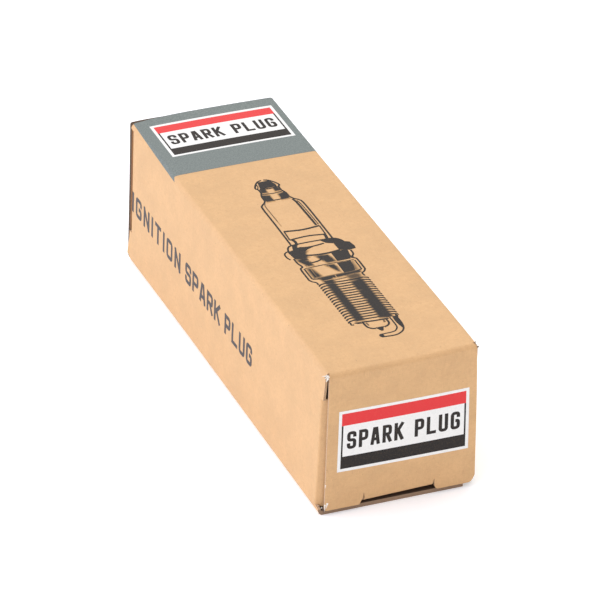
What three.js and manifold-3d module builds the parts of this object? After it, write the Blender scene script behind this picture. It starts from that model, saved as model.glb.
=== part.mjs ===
// A boxed spark plug: a kraft reverse-tuck carton with hinged end flaps, holding a
// conical-seat spark plug with all its inner pieces.
//
// Frame: millimetres, +Z up, origin at the centre of the carton's underside.
// X runs across the carton, Y along it, with the front closure at -Y.
// The plug lies along Y with its terminal towards the front closure.

import * as THREE from "three";
import { mergeVertices } from "three/addons/utils/BufferGeometryUtils.js";
import Module from "manifold-3d";

const wasm = await Module();
wasm.setup();

// ---------------------------------------------------------------- driving dimensions

const CARTON = {
  width: 25.4, // outside, along X
  height: 25.0, // outside, along Z
  length: 85.0, // outside, along Y, closures included
  board: 0.5, // board thickness
  foldRadius: 0.8, // outside radius of a folded edge
};

const FLAP = {
  sideClearance: 0.3, // closure edge to the carton's outside
  floorClearance: 0.1, // closure shoulders to the surface the carton stands on
  shoulderRadius: 1.0,
  creaseHalf: 5.75, // half length of the uncut crease between closure and tuck tab
  creaseDrop: 1.0, // underside of the tuck tab above the carton's underside
  creaseGap: 0.4, // closure's edge to the tuck tab
  tabReach: 8.5, // tuck tab, from its crease inwards
  tabSlope: THREE.MathUtils.degToRad(6), // the tab rises inwards by this much
  tabSideClearance: 1.2,
  tabInset: 0.1, // the tab's edge behind the closure's face
  tabCorner: 3.0,
  dustGap: 0.2, // closure to dust flap
  dustReach: 8.5, // dust flap's free length
  dustFoot: 2.6, // dust flap's lower edge
  dustHead: 19.8, // dust flap's upper edge beside its crease
  dustTaper: THREE.MathUtils.degToRad(15),
  dustCorner: 0.8,
  slit: 0.2, // side wall to the ends of a dust flap
  foldGap: 0.3, // side wall to the dust flap beside its crease
  neckSlack: 0.15, // each side of the tuck tab's neck to the closure's shoulder
};

const SEAM = {
  flapWidth: 10.0, // glue flap, up the right wall
  glueWidth: 6.0,
  glueThickness: 0.12,
  gap: 0.08, // glue to each board
  foot: 1.1, // glue flap's lower edge above the underside
  endClearance: 2.5, // glue flap's ends to the carton's mouths
};

// Stations along the plug, measured from the tip of the terminal towards the electrodes.
const PLUG = {
  nutNeck: 3.9,
  nutEnd: 9.9,
  insulatorTop: 10.2,
  crimpTop: 30.6,
  hexTop: 32.4,
  hexEnd: 38.4,
  barrelTop: 40.6,
  seatTop: 45.8,
  threadTop: 47.6,
  shellEnd: 67.0,
  noseTip: 69.4,
  electrodeTip: 71.0,
  sparkGap: 0.9,
};

const SHELL = {
  hexAcrossFlats: 16.0,
  crimpRadius: 7.0,
  grooveRadius: 7.05,
  barrelRadius: 7.4,
  threadRadius: 6.0, // M12
  threadRoot: 5.28,
  threadPitch: 1.25,
  cavityRadius: 6.4,
  lipRadius: 5.35,
  boreRadius: 4.4,
  ledgeTop: 46.3,
  ledgeEnd: 48.8,
};

const CERAMIC = {
  neckRadius: 5.15,
  topRadius: 3.7,
  flangeRadius: 6.2,
  flangeTop: 37.9,
  flangeEnd: 45.2,
  noseRadius: 3.9,
  noseStart: 47.6,
  tipRadius: 2.3,
  upperBore: 2.15,
  lowerBore: 1.4,
  boreStep: 51.2,
};

const TERMINAL = {
  headRadius: 3.1,
  neckRadius: 2.35,
  bodyRadius: 3.1,
  threadHole: 2.1,
  holeEnd: 2.4,
  studRadius: 1.95, // M4 stud
  studTop: 2.8,
  studEnd: 36.0,
};

const STRAP = { width: 2.4, thickness: 1.2, bend: 1.7, reach: 1.6 };

const PLUG_CLEARANCE = 0.3; // hexagon's lower flat to the inside of the carton
const FRONT_ROOM = 8.4; // terminal tip to the front dust flaps
const FIT = 0.12; // gap between nested pieces of the plug
const ROUND = 32; // sides of a turned piece
const SMALL_ROUND = 24;
const FAR = 60; // larger than any piece, for cutting blocks

const halfWidth = CARTON.width / 2;
const halfLength = CARTON.length / 2;
const innerEnd = halfLength - CARTON.board; // inside face of a closure
const dustOuter = innerEnd - FLAP.dustGap; // outside face of a dust flap
const plugAxis = CARTON.board + PLUG_CLEARANCE + SHELL.hexAcrossFlats / 2;
const tipY = -(dustOuter - CARTON.board - FRONT_ROOM);

// ---------------------------------------------------------------- materials

function material(color, roughness, metalness = 0) {
  return new THREE.MeshStandardMaterial({ color, roughness, metalness });
}

const kraft = material(0xd8ad7e, 0.85);
const kraftInside = material(0xa98763, 0.9);
const glue = material(0xe9e0c8, 0.5);
const zincSteel = material(0xb9bcc0, 0.32, 1);
const plainSteel = material(0x8f8f90, 0.4, 1);
const nickel = material(0x9c9a94, 0.38, 1);
const copper = material(0xb8693c, 0.35, 1);
const ceramic = material(0xf3f1ea, 0.18);
const glassSeal = material(0x5b4a42, 0.45);
const resistorBody = material(0x3a3634, 0.7);
const talc = material(0xdedad0, 0.95);

// ---------------------------------------------------------------- solid helpers

// A closed geometry as a manifold-3d solid.
function solid(geometry) {
  const bare = geometry.index ? geometry.toNonIndexed() : geometry.clone();
  bare.deleteAttribute("normal");
  bare.deleteAttribute("uv");
  const merged = mergeVertices(bare, 1e-4);
  return new wasm.Manifold(
    new wasm.Mesh({
      numProp: 3,
      vertProperties: merged.attributes.position.array,
      triVerts: new Uint32Array(merged.index.array),
    }),
  );
}

// A manifold-3d solid as a geometry.
function geometryOf(manifold) {
  const mesh = manifold.getMesh();
  const positions = new Float32Array(mesh.numVert * 3);
  for (let i = 0; i < mesh.numVert; i++) {
    const start = i * mesh.numProp;
    positions.set(mesh.vertProperties.subarray(start, start + 3), i * 3);
  }
  const geometry = new THREE.BufferGeometry();
  geometry.setAttribute("position", new THREE.BufferAttribute(positions, 3));
  geometry.setIndex(new THREE.BufferAttribute(new Uint32Array(mesh.triVerts), 1));
  return geometry.toNonIndexed();
}

function named(name, geometry, finish) {
  geometry.computeVertexNormals();
  const mesh = new THREE.Mesh(geometry, finish);
  mesh.name = name;
  return mesh;
}

// A box between two corners.
function block(low, high) {
  const size = high.map((value, i) => value - low[i]);
  const box = new THREE.BoxGeometry(...size);
  box.translate(...low.map((value, i) => value + size[i] / 2));
  return box;
}

// An outline in X and Z, made into a plate from y to y + depth.
function plateFacingY(shape, y, depth) {
  const geometry = new THREE.ExtrudeGeometry(shape, {
    depth,
    bevelEnabled: false,
    curveSegments: 6,
  });
  geometry.rotateX(Math.PI / 2);
  geometry.translate(0, y + depth, 0);
  return geometry;
}

// An outline in X and Y, made into a plate from z to z + depth.
function plateFacingZ(shape, z, depth) {
  const geometry = new THREE.ExtrudeGeometry(shape, {
    depth,
    bevelEnabled: false,
    curveSegments: 6,
  });
  geometry.translate(0, 0, z);
  return geometry;
}

// A rectangle with round corners, traced into a path.
function traceRounded(path, x0, y0, x1, y1, radius) {
  path.moveTo(x0 + radius, y0);
  path.lineTo(x1 - radius, y0);
  path.absarc(x1 - radius, y0 + radius, radius, -Math.PI / 2, 0);
  path.lineTo(x1, y1 - radius);
  path.absarc(x1 - radius, y1 - radius, radius, 0, Math.PI / 2);
  path.lineTo(x0 + radius, y1);
  path.absarc(x0 + radius, y1 - radius, radius, Math.PI / 2, Math.PI);
  path.lineTo(x0, y0 + radius);
  path.absarc(x0 + radius, y0 + radius, radius, Math.PI, 1.5 * Math.PI);
  return path;
}

// A turned piece about Y. The profile lists [radius, station] pairs around its section.
function turned(profile, sides = ROUND) {
  const points = profile.map(([radius, station]) => new THREE.Vector2(radius, station));
  return new THREE.LatheGeometry(points, sides);
}

// A turned rod whose profile starts and ends on the axis.
function rod(radius, from, to, chamfer = 0.15, sides = SMALL_ROUND) {
  return turned(
    [
      [0, from],
      [radius - chamfer, from],
      [radius, from + chamfer],
      [radius, to - chamfer],
      [radius - chamfer, to],
      [0, to],
    ],
    sides,
  );
}

// A turned ring with a rectangular section.
function ring(inner, outer, from, to, sides = ROUND) {
  return turned(
    [
      [inner, from],
      [outer, from],
      [outer, to],
      [inner, to],
      [inner, from],
    ],
    sides,
  );
}

// ---------------------------------------------------------------- carton

function cartonSleeve() {
  const { width, height, board, foldRadius } = CARTON;
  const wall = new THREE.Shape();
  traceRounded(wall, -width / 2, 0, width / 2, height, foldRadius);
  const inside = new THREE.Path();
  const innerRadius = foldRadius - board;
  traceRounded(
    inside,
    board - width / 2,
    board,
    width / 2 - board,
    height - board,
    innerRadius,
  );
  wall.holes.push(inside);
  const end = halfLength - foldRadius;
  let body = solid(plateFacingY(wall, -end, 2 * end));

  // Both walls stop short of the dust flaps' creases.
  const dustStart = dustOuter - board - FLAP.foldGap;
  const low = FLAP.dustFoot - FLAP.slit;
  const high = FLAP.dustHead + FLAP.slit;
  const front = block([-FAR, -FAR, low], [FAR, -dustStart, high]);
  const rear = block([-FAR, dustStart, height - high], [FAR, FAR, height - low]);
  for (const notch of [front, rear]) {
    body = body.subtract(solid(notch));
  }
  return named("carton_sleeve", geometryOf(body), kraft);
}

function glueFlap() {
  const outer = halfWidth - CARTON.board - 2 * SEAM.gap - SEAM.glueThickness;
  const reach = halfLength - SEAM.endClearance;
  return named(
    "glue_flap",
    block(
      [outer - CARTON.board, -reach, SEAM.foot],
      [outer, reach, SEAM.foot + SEAM.flapWidth],
    ),
    kraftInside,
  );
}

function seamGlue() {
  const outer = halfWidth - CARTON.board - SEAM.gap;
  const reach = halfLength - SEAM.endClearance - 1.5;
  const foot = SEAM.foot + (SEAM.flapWidth - SEAM.glueWidth) / 2;
  return named(
    "seam_glue",
    block(
      [outer - SEAM.glueThickness, -reach, foot],
      [outer, reach, foot + SEAM.glueWidth],
    ),
    glue,
  );
}

// The closure panel: its shoulders reach the carton's edge, and its middle stops at the crease.
function closurePanel(name) {
  const half = halfWidth - FLAP.sideClearance;
  const top = CARTON.height - CARTON.foldRadius;
  const foot = FLAP.floorClearance;
  const crease = FLAP.creaseDrop + CARTON.board + FLAP.creaseGap;
  const r = FLAP.shoulderRadius;
  const outline = new THREE.Shape();
  outline.moveTo(-half, top);
  outline.lineTo(-half, foot + r);
  outline.absarc(r - half, foot + r, r, Math.PI, 1.5 * Math.PI);
  outline.lineTo(-FLAP.creaseHalf, foot);
  outline.lineTo(-FLAP.creaseHalf, crease);
  outline.lineTo(FLAP.creaseHalf, crease);
  outline.lineTo(FLAP.creaseHalf, foot);
  outline.lineTo(half - r, foot);
  outline.absarc(half - r, foot + r, r, -Math.PI / 2, 0);
  outline.lineTo(half, top);
  outline.closePath();
  return named(name, plateFacingY(outline, -halfLength, CARTON.board), kraft);
}

// The tuck tab: joined at its crease in the middle, free of the shoulders on both sides.
function tuckTab(name) {
  const half = halfWidth - CARTON.board - FLAP.tabSideClearance;
  const neck = FLAP.creaseHalf - FLAP.neckSlack;
  const r = FLAP.tabCorner;
  const shoulder = CARTON.board + FLAP.foldGap;
  const end = FLAP.tabReach;
  const outline = new THREE.Shape();
  outline.moveTo(-neck, 0);
  outline.lineTo(neck, 0);
  outline.lineTo(neck, shoulder);
  outline.lineTo(half, shoulder);
  outline.lineTo(half, end - r);
  outline.absarc(half - r, end - r, r, 0, Math.PI / 2);
  outline.lineTo(r - half, end);
  outline.absarc(r - half, end - r, r, Math.PI / 2, Math.PI);
  outline.lineTo(-half, shoulder);
  outline.lineTo(-neck, shoulder);
  outline.closePath();
  const tab = named(name, plateFacingZ(outline, 0, CARTON.board), kraft);
  tab.rotation.x = FLAP.tabSlope;
  tab.position.set(0, -halfLength + FLAP.tabInset, FLAP.creaseDrop);
  return tab;
}

// A dust flap on the right wall (side 1) or the left wall (side -1).
function dustFlap(name, side) {
  const start = halfWidth - CARTON.board - FLAP.foldGap;
  const free = halfWidth - CARTON.board - FLAP.dustReach;
  const tip = FLAP.dustHead - (start - free) * Math.tan(FLAP.dustTaper);
  const corner = FLAP.dustCorner;
  const outline = new THREE.Shape();
  outline.moveTo(side * start, FLAP.dustFoot);
  outline.lineTo(side * start, FLAP.dustHead);
  outline.lineTo(side * (free + corner), tip);
  outline.lineTo(side * free, tip - corner);
  outline.lineTo(side * free, FLAP.dustFoot + corner);
  outline.lineTo(side * (free + corner), FLAP.dustFoot);
  outline.closePath();
  return named(name, plateFacingY(outline, -dustOuter, CARTON.board), kraftInside);
}

// One end of the carton, modelled at the front. Left and right are as seen from the front.
function cartonEnd(prefix) {
  const end = new THREE.Group();
  end.add(
    closurePanel(`${prefix}_closure`),
    tuckTab(`${prefix}_tuck_tab`),
    dustFlap(`${prefix}_dust_flap_left`, -1),
    dustFlap(`${prefix}_dust_flap_right`, 1),
  );
  return end;
}

function carton() {
  const group = new THREE.Group();
  const rear = cartonEnd("rear");
  rear.rotation.x = Math.PI; // reverse tuck: the rear end is the front end upside down
  rear.position.z = CARTON.height;
  group.add(cartonSleeve(), glueFlap(), seamGlue(), cartonEnd("front"), rear);
  return group;
}

// ---------------------------------------------------------------- spark plug

function terminalNut() {
  const { headRadius, neckRadius, bodyRadius, threadHole, holeEnd } = TERMINAL;
  return turned(
    [
      [0, 0],
      [headRadius * 0.62, 0],
      [headRadius * 0.88, 0.5],
      [headRadius, 1.5],
      [headRadius, 2.3],
      [headRadius * 0.9, 3.1],
      [neckRadius, PLUG.nutNeck],
      [neckRadius, PLUG.nutNeck + 1.3],
      [bodyRadius * 0.95, PLUG.nutNeck + 2.0],
      [bodyRadius, PLUG.nutNeck + 2.4],
      [bodyRadius, PLUG.nutEnd - 0.3],
      [bodyRadius - 0.3, PLUG.nutEnd],
      [threadHole, PLUG.nutEnd],
      [threadHole, holeEnd],
      [0, holeEnd],
    ],
    SMALL_ROUND,
  );
}

function terminalStud() {
  const { studRadius, studTop, studEnd } = TERMINAL;
  const collar = CERAMIC.topRadius - 0.9;
  return turned(
    [
      [0, studTop],
      [studRadius - 0.4, studTop],
      [studRadius, studTop + 0.5],
      [studRadius, PLUG.nutEnd + 0.06],
      [collar, PLUG.nutEnd + 0.06],
      [collar, PLUG.insulatorTop - 0.06],
      [studRadius, PLUG.insulatorTop - 0.06],
      [studRadius, studEnd - 0.5],
      [studRadius - 0.5, studEnd],
      [0, studEnd],
    ],
    SMALL_ROUND,
  );
}

function insulator() {
  const c = CERAMIC;
  return turned([
    [c.upperBore, PLUG.insulatorTop],
    [c.topRadius, PLUG.insulatorTop],
    [c.topRadius + 0.25, PLUG.insulatorTop + 0.9],
    [c.neckRadius - 0.45, PLUG.insulatorTop + 1.4],
    [c.neckRadius - 0.12, PLUG.insulatorTop + 1.9],
    [c.neckRadius, PLUG.insulatorTop + 2.6],
    [c.neckRadius, c.flangeTop - 0.7],
    [c.flangeRadius, c.flangeTop],
    [c.flangeRadius, c.flangeEnd],
    [c.noseRadius, c.noseStart],
    [c.tipRadius, PLUG.noseTip - 0.4],
    [c.tipRadius - 0.35, PLUG.noseTip],
    [c.lowerBore, PLUG.noseTip],
    [c.lowerBore, c.boreStep],
    [c.upperBore, c.boreStep - 0.6],
    [c.upperBore, PLUG.insulatorTop],
  ]);
}

// The thread's outline: one V groove for each turn, as crest and root pairs.
function threadProfile() {
  const { threadRadius, threadRoot, threadPitch } = SHELL;
  const first = PLUG.threadTop + 0.9;
  const last = PLUG.shellEnd - 1.0;
  const turns = Math.floor((last - first) / threadPitch);
  const points = [[threadRoot + 0.1, PLUG.threadTop]];
  for (let i = 0; i <= turns; i++) {
    const station = first + i * threadPitch;
    points.push([threadRadius, station]);
    points.push([threadRoot, station + threadPitch / 2]);
  }
  return points;
}

function metalShell() {
  const s = SHELL;
  const corner = s.hexAcrossFlats / 2 / Math.cos(Math.PI / 6);
  const chamfer = 0.8;
  const body = solid(
    turned([
      [s.lipRadius, PLUG.crimpTop + 0.25],
      [s.lipRadius + 0.35, PLUG.crimpTop],
      [s.crimpRadius - 0.7, PLUG.crimpTop + 0.25],
      [s.crimpRadius, PLUG.crimpTop + 1.1],
      [s.crimpRadius, PLUG.hexTop],
      [corner - chamfer * 1.6, PLUG.hexTop],
      [corner, PLUG.hexTop + chamfer],
      [corner, PLUG.hexEnd - chamfer],
      [corner - chamfer * 1.6, PLUG.hexEnd],
      [s.grooveRadius, PLUG.hexEnd],
      [s.grooveRadius, PLUG.barrelTop],
      [s.barrelRadius, PLUG.barrelTop + 0.35],
      [s.barrelRadius, PLUG.seatTop],
      [s.threadRadius, PLUG.threadTop - 0.3],
      ...threadProfile(),
      [s.threadRoot, PLUG.shellEnd],
      [s.boreRadius, PLUG.shellEnd],
      [s.boreRadius, s.ledgeEnd],
      [s.cavityRadius, s.ledgeTop],
      [s.cavityRadius, PLUG.crimpTop + 1.5],
      [s.lipRadius, PLUG.crimpTop + 1.1],
      [s.lipRadius, PLUG.crimpTop + 0.25],
    ]),
  );
  const around = new THREE.CylinderGeometry(FAR, FAR, PLUG.hexEnd - PLUG.hexTop + 0.02, 6);
  const hexagon = new THREE.CylinderGeometry(corner, corner, FAR, 6);
  hexagon.rotateY(Math.PI / 6); // flats up and down
  around.translate(0, (PLUG.hexEnd + PLUG.hexTop) / 2, 0);
  hexagon.translate(0, (PLUG.hexEnd + PLUG.hexTop) / 2, 0);
  const outside = solid(around).subtract(solid(hexagon));
  return geometryOf(body.subtract(outside));
}

// The ground strap: welded to the shell's end face, then bent over the centre electrode.
function groundElectrode() {
  const { width, thickness, bend, reach } = STRAP;
  const outer = SHELL.boreRadius + thickness + 0.05;
  const inner = outer - thickness;
  const foot = PLUG.shellEnd + 0.1;
  const under = PLUG.electrodeTip + PLUG.sparkGap;
  const crown = under + thickness;
  const outline = new THREE.Shape();
  outline.moveTo(inner, foot);
  outline.lineTo(outer, foot);
  outline.lineTo(outer, crown - bend);
  outline.absarc(outer - bend, crown - bend, bend, 0, Math.PI / 2);
  outline.lineTo(-reach, crown);
  outline.lineTo(-reach, under);
  outline.lineTo(outer - bend, under);
  outline.absarc(outer - bend, crown - bend, bend - thickness, Math.PI / 2, 0, true);
  outline.closePath();
  const geometry = new THREE.ExtrudeGeometry(outline, {
    depth: width,
    bevelEnabled: false,
    curveSegments: 8,
  });
  geometry.translate(0, 0, -width / 2);
  return geometry;
}

// The centre electrode: a nickel cup, open at its head for the copper core.
function centreElectrode() {
  const head = CERAMIC.upperBore - FIT;
  const stem = CERAMIC.lowerBore - FIT;
  const hole = 0.8;
  const headTop = CERAMIC.boreStep - 2.4;
  return turned(
    [
      [hole, headTop],
      [head, headTop],
      [head, CERAMIC.boreStep - 0.95],
      [stem, CERAMIC.boreStep - 0.35],
      [stem, PLUG.noseTip + 0.5],
      [0.55, PLUG.noseTip + 0.9],
      [0.45, PLUG.electrodeTip],
      [0, PLUG.electrodeTip],
      [0, PLUG.noseTip - 3],
      [hole, PLUG.noseTip - 3.4],
      [hole, headTop],
    ],
    SMALL_ROUND,
  );
}

// The washer between the insulator's lower cone and the shell's ledge.
function seatWasher() {
  const along = SHELL.ledgeEnd - SHELL.ledgeTop;
  const across = SHELL.cavityRadius - SHELL.boreRadius;
  const slope = across / along;
  const top = SHELL.ledgeTop + 0.35;
  const end = top + 0.9;
  const ledgeAt = (station) => SHELL.cavityRadius - (station - SHELL.ledgeTop) * slope;
  return turned(
    [
      [ledgeAt(top) - 0.5, top],
      [ledgeAt(top) - 0.12, top],
      [ledgeAt(end) - 0.12, end],
      [ledgeAt(end) - 0.5, end],
      [ledgeAt(top) - 0.5, top],
    ],
    ROUND,
  );
}

// A round wire ring in the space between insulator and shell.
function packingRing(station) {
  const wire = (SHELL.cavityRadius - CERAMIC.neckRadius) / 2 - FIT;
  const centre = (SHELL.cavityRadius + CERAMIC.neckRadius) / 2;
  const profile = [];
  for (let i = 0; i <= 8; i++) {
    const angle = (-i * Math.PI) / 4;
    profile.push([centre + wire * Math.cos(angle), station - wire * Math.sin(angle)]);
  }
  profile[8] = profile[0];
  return turned(profile);
}

function sparkPlug() {
  const bore = CERAMIC.upperBore - FIT;
  const headTop = CERAMIC.boreStep - 2.4;
  const cavityInner = CERAMIC.neckRadius + FIT;
  const cavityOuter = SHELL.cavityRadius - FIT;
  const group = new THREE.Group();
  group.position.set(0, tipY, plugAxis);
  group.add(
    named("terminal_nut", terminalNut(), zincSteel),
    named("terminal_stud", terminalStud(), plainSteel),
    named("insulator", insulator(), ceramic),
    named("metal_shell", metalShell(), zincSteel),
    named("ground_electrode", groundElectrode(), nickel),
    named("centre_electrode", centreElectrode(), nickel),
    named("copper_core", rod(0.68, headTop, PLUG.noseTip - 3.6, 0.15, 16), copper),
    named("upper_glass_seal", rod(bore, TERMINAL.studEnd + 0.15, 39.0), glassSeal),
    named("resistor", rod(bore, 39.15, 44.6), resistorBody),
    named("lower_glass_seal", rod(bore, 44.75, headTop - 0.15), glassSeal),
    named("upper_packing_ring", packingRing(32.85), plainSteel),
    named("talc_ring", ring(cavityInner, cavityOuter, 33.5, 35.7), talc),
    named("lower_packing_ring", packingRing(36.35), plainSteel),
    named("seat_washer", seatWasher(), plainSteel),
  );
  return group;
}

const boxedSparkPlug = new THREE.Group();
boxedSparkPlug.add(carton(), sparkPlug());

export default boxedSparkPlug;
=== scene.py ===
"""Looks of the boxed spark plug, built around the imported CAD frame.

Sizes and places are in millimetres, in the CAD frame: X across the carton, Y along it with the
front closure at -Y, Z up. MM turns them into metres when a mesh is made.
"""

import math

import bmesh
import bpy
import numpy as np
from mathutils import Matrix, Vector
from mathutils.geometry import delaunay_2d_cdt, intersect_point_line


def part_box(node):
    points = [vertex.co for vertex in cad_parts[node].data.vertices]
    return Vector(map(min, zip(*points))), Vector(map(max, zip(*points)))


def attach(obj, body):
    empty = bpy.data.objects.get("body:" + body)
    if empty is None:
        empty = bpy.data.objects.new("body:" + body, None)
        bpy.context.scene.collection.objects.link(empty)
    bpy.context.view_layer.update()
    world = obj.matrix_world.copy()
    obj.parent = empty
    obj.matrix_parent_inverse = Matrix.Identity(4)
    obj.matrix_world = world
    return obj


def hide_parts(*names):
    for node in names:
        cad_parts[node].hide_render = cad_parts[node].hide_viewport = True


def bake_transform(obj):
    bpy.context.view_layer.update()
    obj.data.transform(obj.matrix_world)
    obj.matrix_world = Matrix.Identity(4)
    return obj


MM = 0.001
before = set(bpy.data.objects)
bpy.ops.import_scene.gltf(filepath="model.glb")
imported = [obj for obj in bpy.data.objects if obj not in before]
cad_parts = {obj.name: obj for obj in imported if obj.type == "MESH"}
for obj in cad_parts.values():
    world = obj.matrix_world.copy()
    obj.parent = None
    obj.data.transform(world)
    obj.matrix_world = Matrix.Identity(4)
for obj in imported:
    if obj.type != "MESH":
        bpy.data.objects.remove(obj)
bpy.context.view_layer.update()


def box_mm(node):
    """A CAD node's lowest and highest corners, in millimetres."""
    low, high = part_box(node)
    return low / MM, high / MM


# ---------------------------------------------------------------- sizes, from the frame

_, sleeve_high = box_mm("carton_sleeve")
closure_low, closure_high = box_mm("front_closure")
tab_low, tab_high = box_mm("front_tuck_tab")
dust_low, dust_high = box_mm("front_dust_flap_right")
_, flap_high = box_mm("glue_flap")
shell_low, shell_high = box_mm("metal_shell")
nut_low, nut_high = box_mm("terminal_nut")
nose_low, nose_high = box_mm("insulator")
strap_low, strap_high = box_mm("ground_electrode")
_, electrode_high = box_mm("centre_electrode")

HALF_WIDTH = sleeve_high.x
HEIGHT = sleeve_high.z
HALF_LENGTH = -closure_low.y
RAW_END = sleeve_high.y  # a panel's cut end
BOARD = closure_high.y - closure_low.y
SHEET = 0.8 * BOARD  # the board as it looks, pressed thin at its edges
FOLD = HEIGHT - closure_high.z  # outside radius of a folded edge
CLOSURE_LEFT = -closure_high.x + 0.2  # the closure sits a little to the right
CLOSURE_RIGHT = closure_high.x
CLOSURE_FOOT = closure_low.z + 0.38
DUST_OUTER = -dust_low.y - 0.4  # pressed in a little behind the closure
DUST_FOOT = dust_low.z
DUST_HEAD = dust_high.z
DUST_FREE = dust_low.x
TAB_HALF = tab_high.x
TAB_UNDER = tab_low.z
TAB_FRONT = tab_low.y
PLUG_AXIS = (shell_low.z + shell_high.z) / 2
PLUG_TIP = nut_low.y

CLEARANCE = 0.06  # between two pieces that touch
BEHIND_CLOSURE = HALF_LENGTH - SHEET - CLEARANCE
STAND, SINK = 0.45, 0.35  # the lowest millimetre is stretched by this much upwards and down
BACK_START = 39.5  # from here the top panel's far end reaches back
SLIT = 0.05  # wall to a dust flap's ends
CREASE_HALF = 5.75  # half length of the crease between closure and tuck tab
NECK_HALF = 5.6
TAB_SLOPE = math.radians(6)
TAB_REACH = 8.5
TAB_CORNER = 3.0
TAB_FOLD = 0.6  # outside radius of the fold between closure and tuck tab
DUST_TAPER = math.radians(15)
LEAD = 0.2  # flat stretch before a fold, where two pieces of board meet
FOLD_END = HALF_LENGTH - FOLD - LEAD  # where a panel meets the piece that holds its closure
STEP = 0.02  # half the run of a cut that crosses the grid of a board
ROW_SPACING = 2.0
FILM = 0.02  # a print's height above the board
FILM_SINK = 0.03  # a print's underside below the board's face
SHARP = math.radians(35)  # an edge that turns by more than this isn't shaded smooth


# ---------------------------------------------------------------- small mesh tools


def make_piece(name, points, faces, materials, face_materials=None, densities=None):
    """A closed mesh object from points in millimetres. densities are a print's ink, one for each
    corner of each face."""
    mesh = bpy.data.meshes.new(name)
    mesh.from_pydata([tuple(c * MM for c in p) for p in points], [], faces)
    for finish in materials:
        mesh.materials.append(finish)
    if face_materials:
        mesh.polygons.foreach_set("material_index", face_materials)
    if densities:
        mesh.attributes.new("ink", "FLOAT", "CORNER").data.foreach_set("value", densities)
    mesh.shade_smooth()
    mesh.set_sharp_from_angle(angle=SHARP)
    obj = bpy.data.objects.new(name, mesh)
    bpy.context.scene.collection.objects.link(obj)
    return obj


def spread(start, end, count):
    """count + 1 evenly spaced values from start to end."""
    return [start + (end - start) * i / count for i in range(count + 1)]


def stations(start, end, spacing=ROW_SPACING):
    """Values from start to end, about spacing apart."""
    return spread(start, end, max(1, round(abs(end - start) / spacing)))


def arc(centre, radius, start, end, count=12):
    """Points on an arc, each with its outward direction. Angles in degrees."""
    found = []
    for angle in spread(math.radians(start), math.radians(end), count):
        out = (math.cos(angle), math.sin(angle))
        found.append(((centre[0] + radius * out[0], centre[1] + radius * out[1]), out))
    return found


def clamped(value):
    """value, held between 0 and 1."""
    return min(1, max(0, value))


def as_folded(point):
    """The carton's small departures from a perfect box, each of less than a millimetre."""
    x, y, z = point
    across, along, up = x / HALF_WIDTH, y / HALF_LENGTH, z / HEIGHT
    left, right, front, rear = (max(0, share) for share in (-across, across, -along, along))
    middle_x, middle_y, middle_z = (max(0, 1 - share**2) for share in (across, along, 2 * up - 1))
    foot = max(0, 1 - up) ** 1.5
    beside_closure = clamped(0.25 - 0.75 * along) * clamped((y + HALF_LENGTH - SHEET) / 0.05)
    back = clamped((y - BACK_START) / 2) * (1 - clamped(left) ** 3)
    racked = clamped((y - RAW_END) / (HALF_LENGTH - RAW_END))
    # The walls bow and stand wider at the foot, most of all on the left in front.
    x += 0.28 * across * foot + 0.12 * across**3 * middle_y * middle_z
    x += right * (0.2 * (1 - front**6) + 0.32 * front**6 * (1 - up**4))
    x -= 0.45 * left * beside_closure * foot
    # The top bows up, droops at its front fold, least on the right, and reaches back at its end.
    z += (STAND + SINK) * clamped(z) - SINK
    z += up**3 * (0.12 * middle_x * middle_y + rear**4 * (0.12 + 0.14 * middle_x))
    z += up**3 * (0.4 * front**4 * right**2 - front**8 * (0.36 - 0.12 * across))
    y += 0.1 * along**9 * middle_x * middle_z + 0.8 * up**3 * back
    # The rear closure sits askew.
    x -= 0.38 * racked
    z -= racked * (0.75 * min(0, across + 0.46) + 0.9 * right) * up
    return (x, y, z)


def turned_over(point):
    """A place on the front end, moved to the rear end of the carton, which is upside down."""
    x, y, z = point
    return (x, -y, HEIGHT - z)


def board_piece(name, rows, rear=False):
    """A closed piece of board. Each row is a list of places on the outer face, each with the
    direction that the board faces there."""
    count, columns = len(rows), len(rows[0])
    entries = [entry for row in rows for entry in row]
    places = [place for place, _ in entries]
    places += [tuple(c - SHEET * o for c, o in zip(place, out)) for place, out in entries]
    points = [as_folded(turned_over(place) if rear else place) for place in places]

    def at(face, r, c):
        return (face * count + r) * columns + c

    faces, kinds = [], []
    for r in range(count - 1):
        for c in range(columns - 1):
            faces.append((at(0, r, c), at(0, r, c + 1), at(0, r + 1, c + 1), at(0, r + 1, c)))
            faces.append((at(1, r, c), at(1, r + 1, c), at(1, r + 1, c + 1), at(1, r, c + 1)))
            kinds += [0, 1]
    border = [(0, c) for c in range(columns)]
    border += [(r, columns - 1) for r in range(1, count)]
    border += [(count - 1, c) for c in range(columns - 2, -1, -1)]
    border += [(r, 0) for r in range(count - 2, 0, -1)]
    for here, there in zip(border, border[1:] + border[:1]):
        faces.append((at(0, *there), at(0, *here), at(1, *here), at(1, *there)))
        kinds.append(2)
    piece = make_piece(name, points, faces, [KRAFT, KRAFT_INSIDE, KRAFT_EDGE], kinds)
    outward_normals(piece)
    return piece


def hinged_board(name, rows, first, second, ends, rear):
    """A piece of board in place of the second body's CAD node, which it hides. first is not used, and
    nothing is done with the places made from ends."""
    piece = board_piece(name, rows, rear)
    start, end = [Vector(turned_over(p) if rear else p) * MM for p in ends]
    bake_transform(piece)
    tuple(start)
    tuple(end)
    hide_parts(second)


def outward_normals(piece, merge=False):
    """Turns all faces outwards and marks the sharp edges anew. merge joins points that coincide."""
    bm = bmesh.new()
    bm.from_mesh(piece.data)
    if merge:
        bmesh.ops.remove_doubles(bm, verts=bm.verts, dist=1e-6)
    bmesh.ops.recalc_face_normals(bm, faces=bm.faces)
    bm.to_mesh(piece.data)
    bm.free()
    piece.data.set_sharp_from_angle(angle=SHARP)


# ---------------------------------------------------------------- materials


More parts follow.
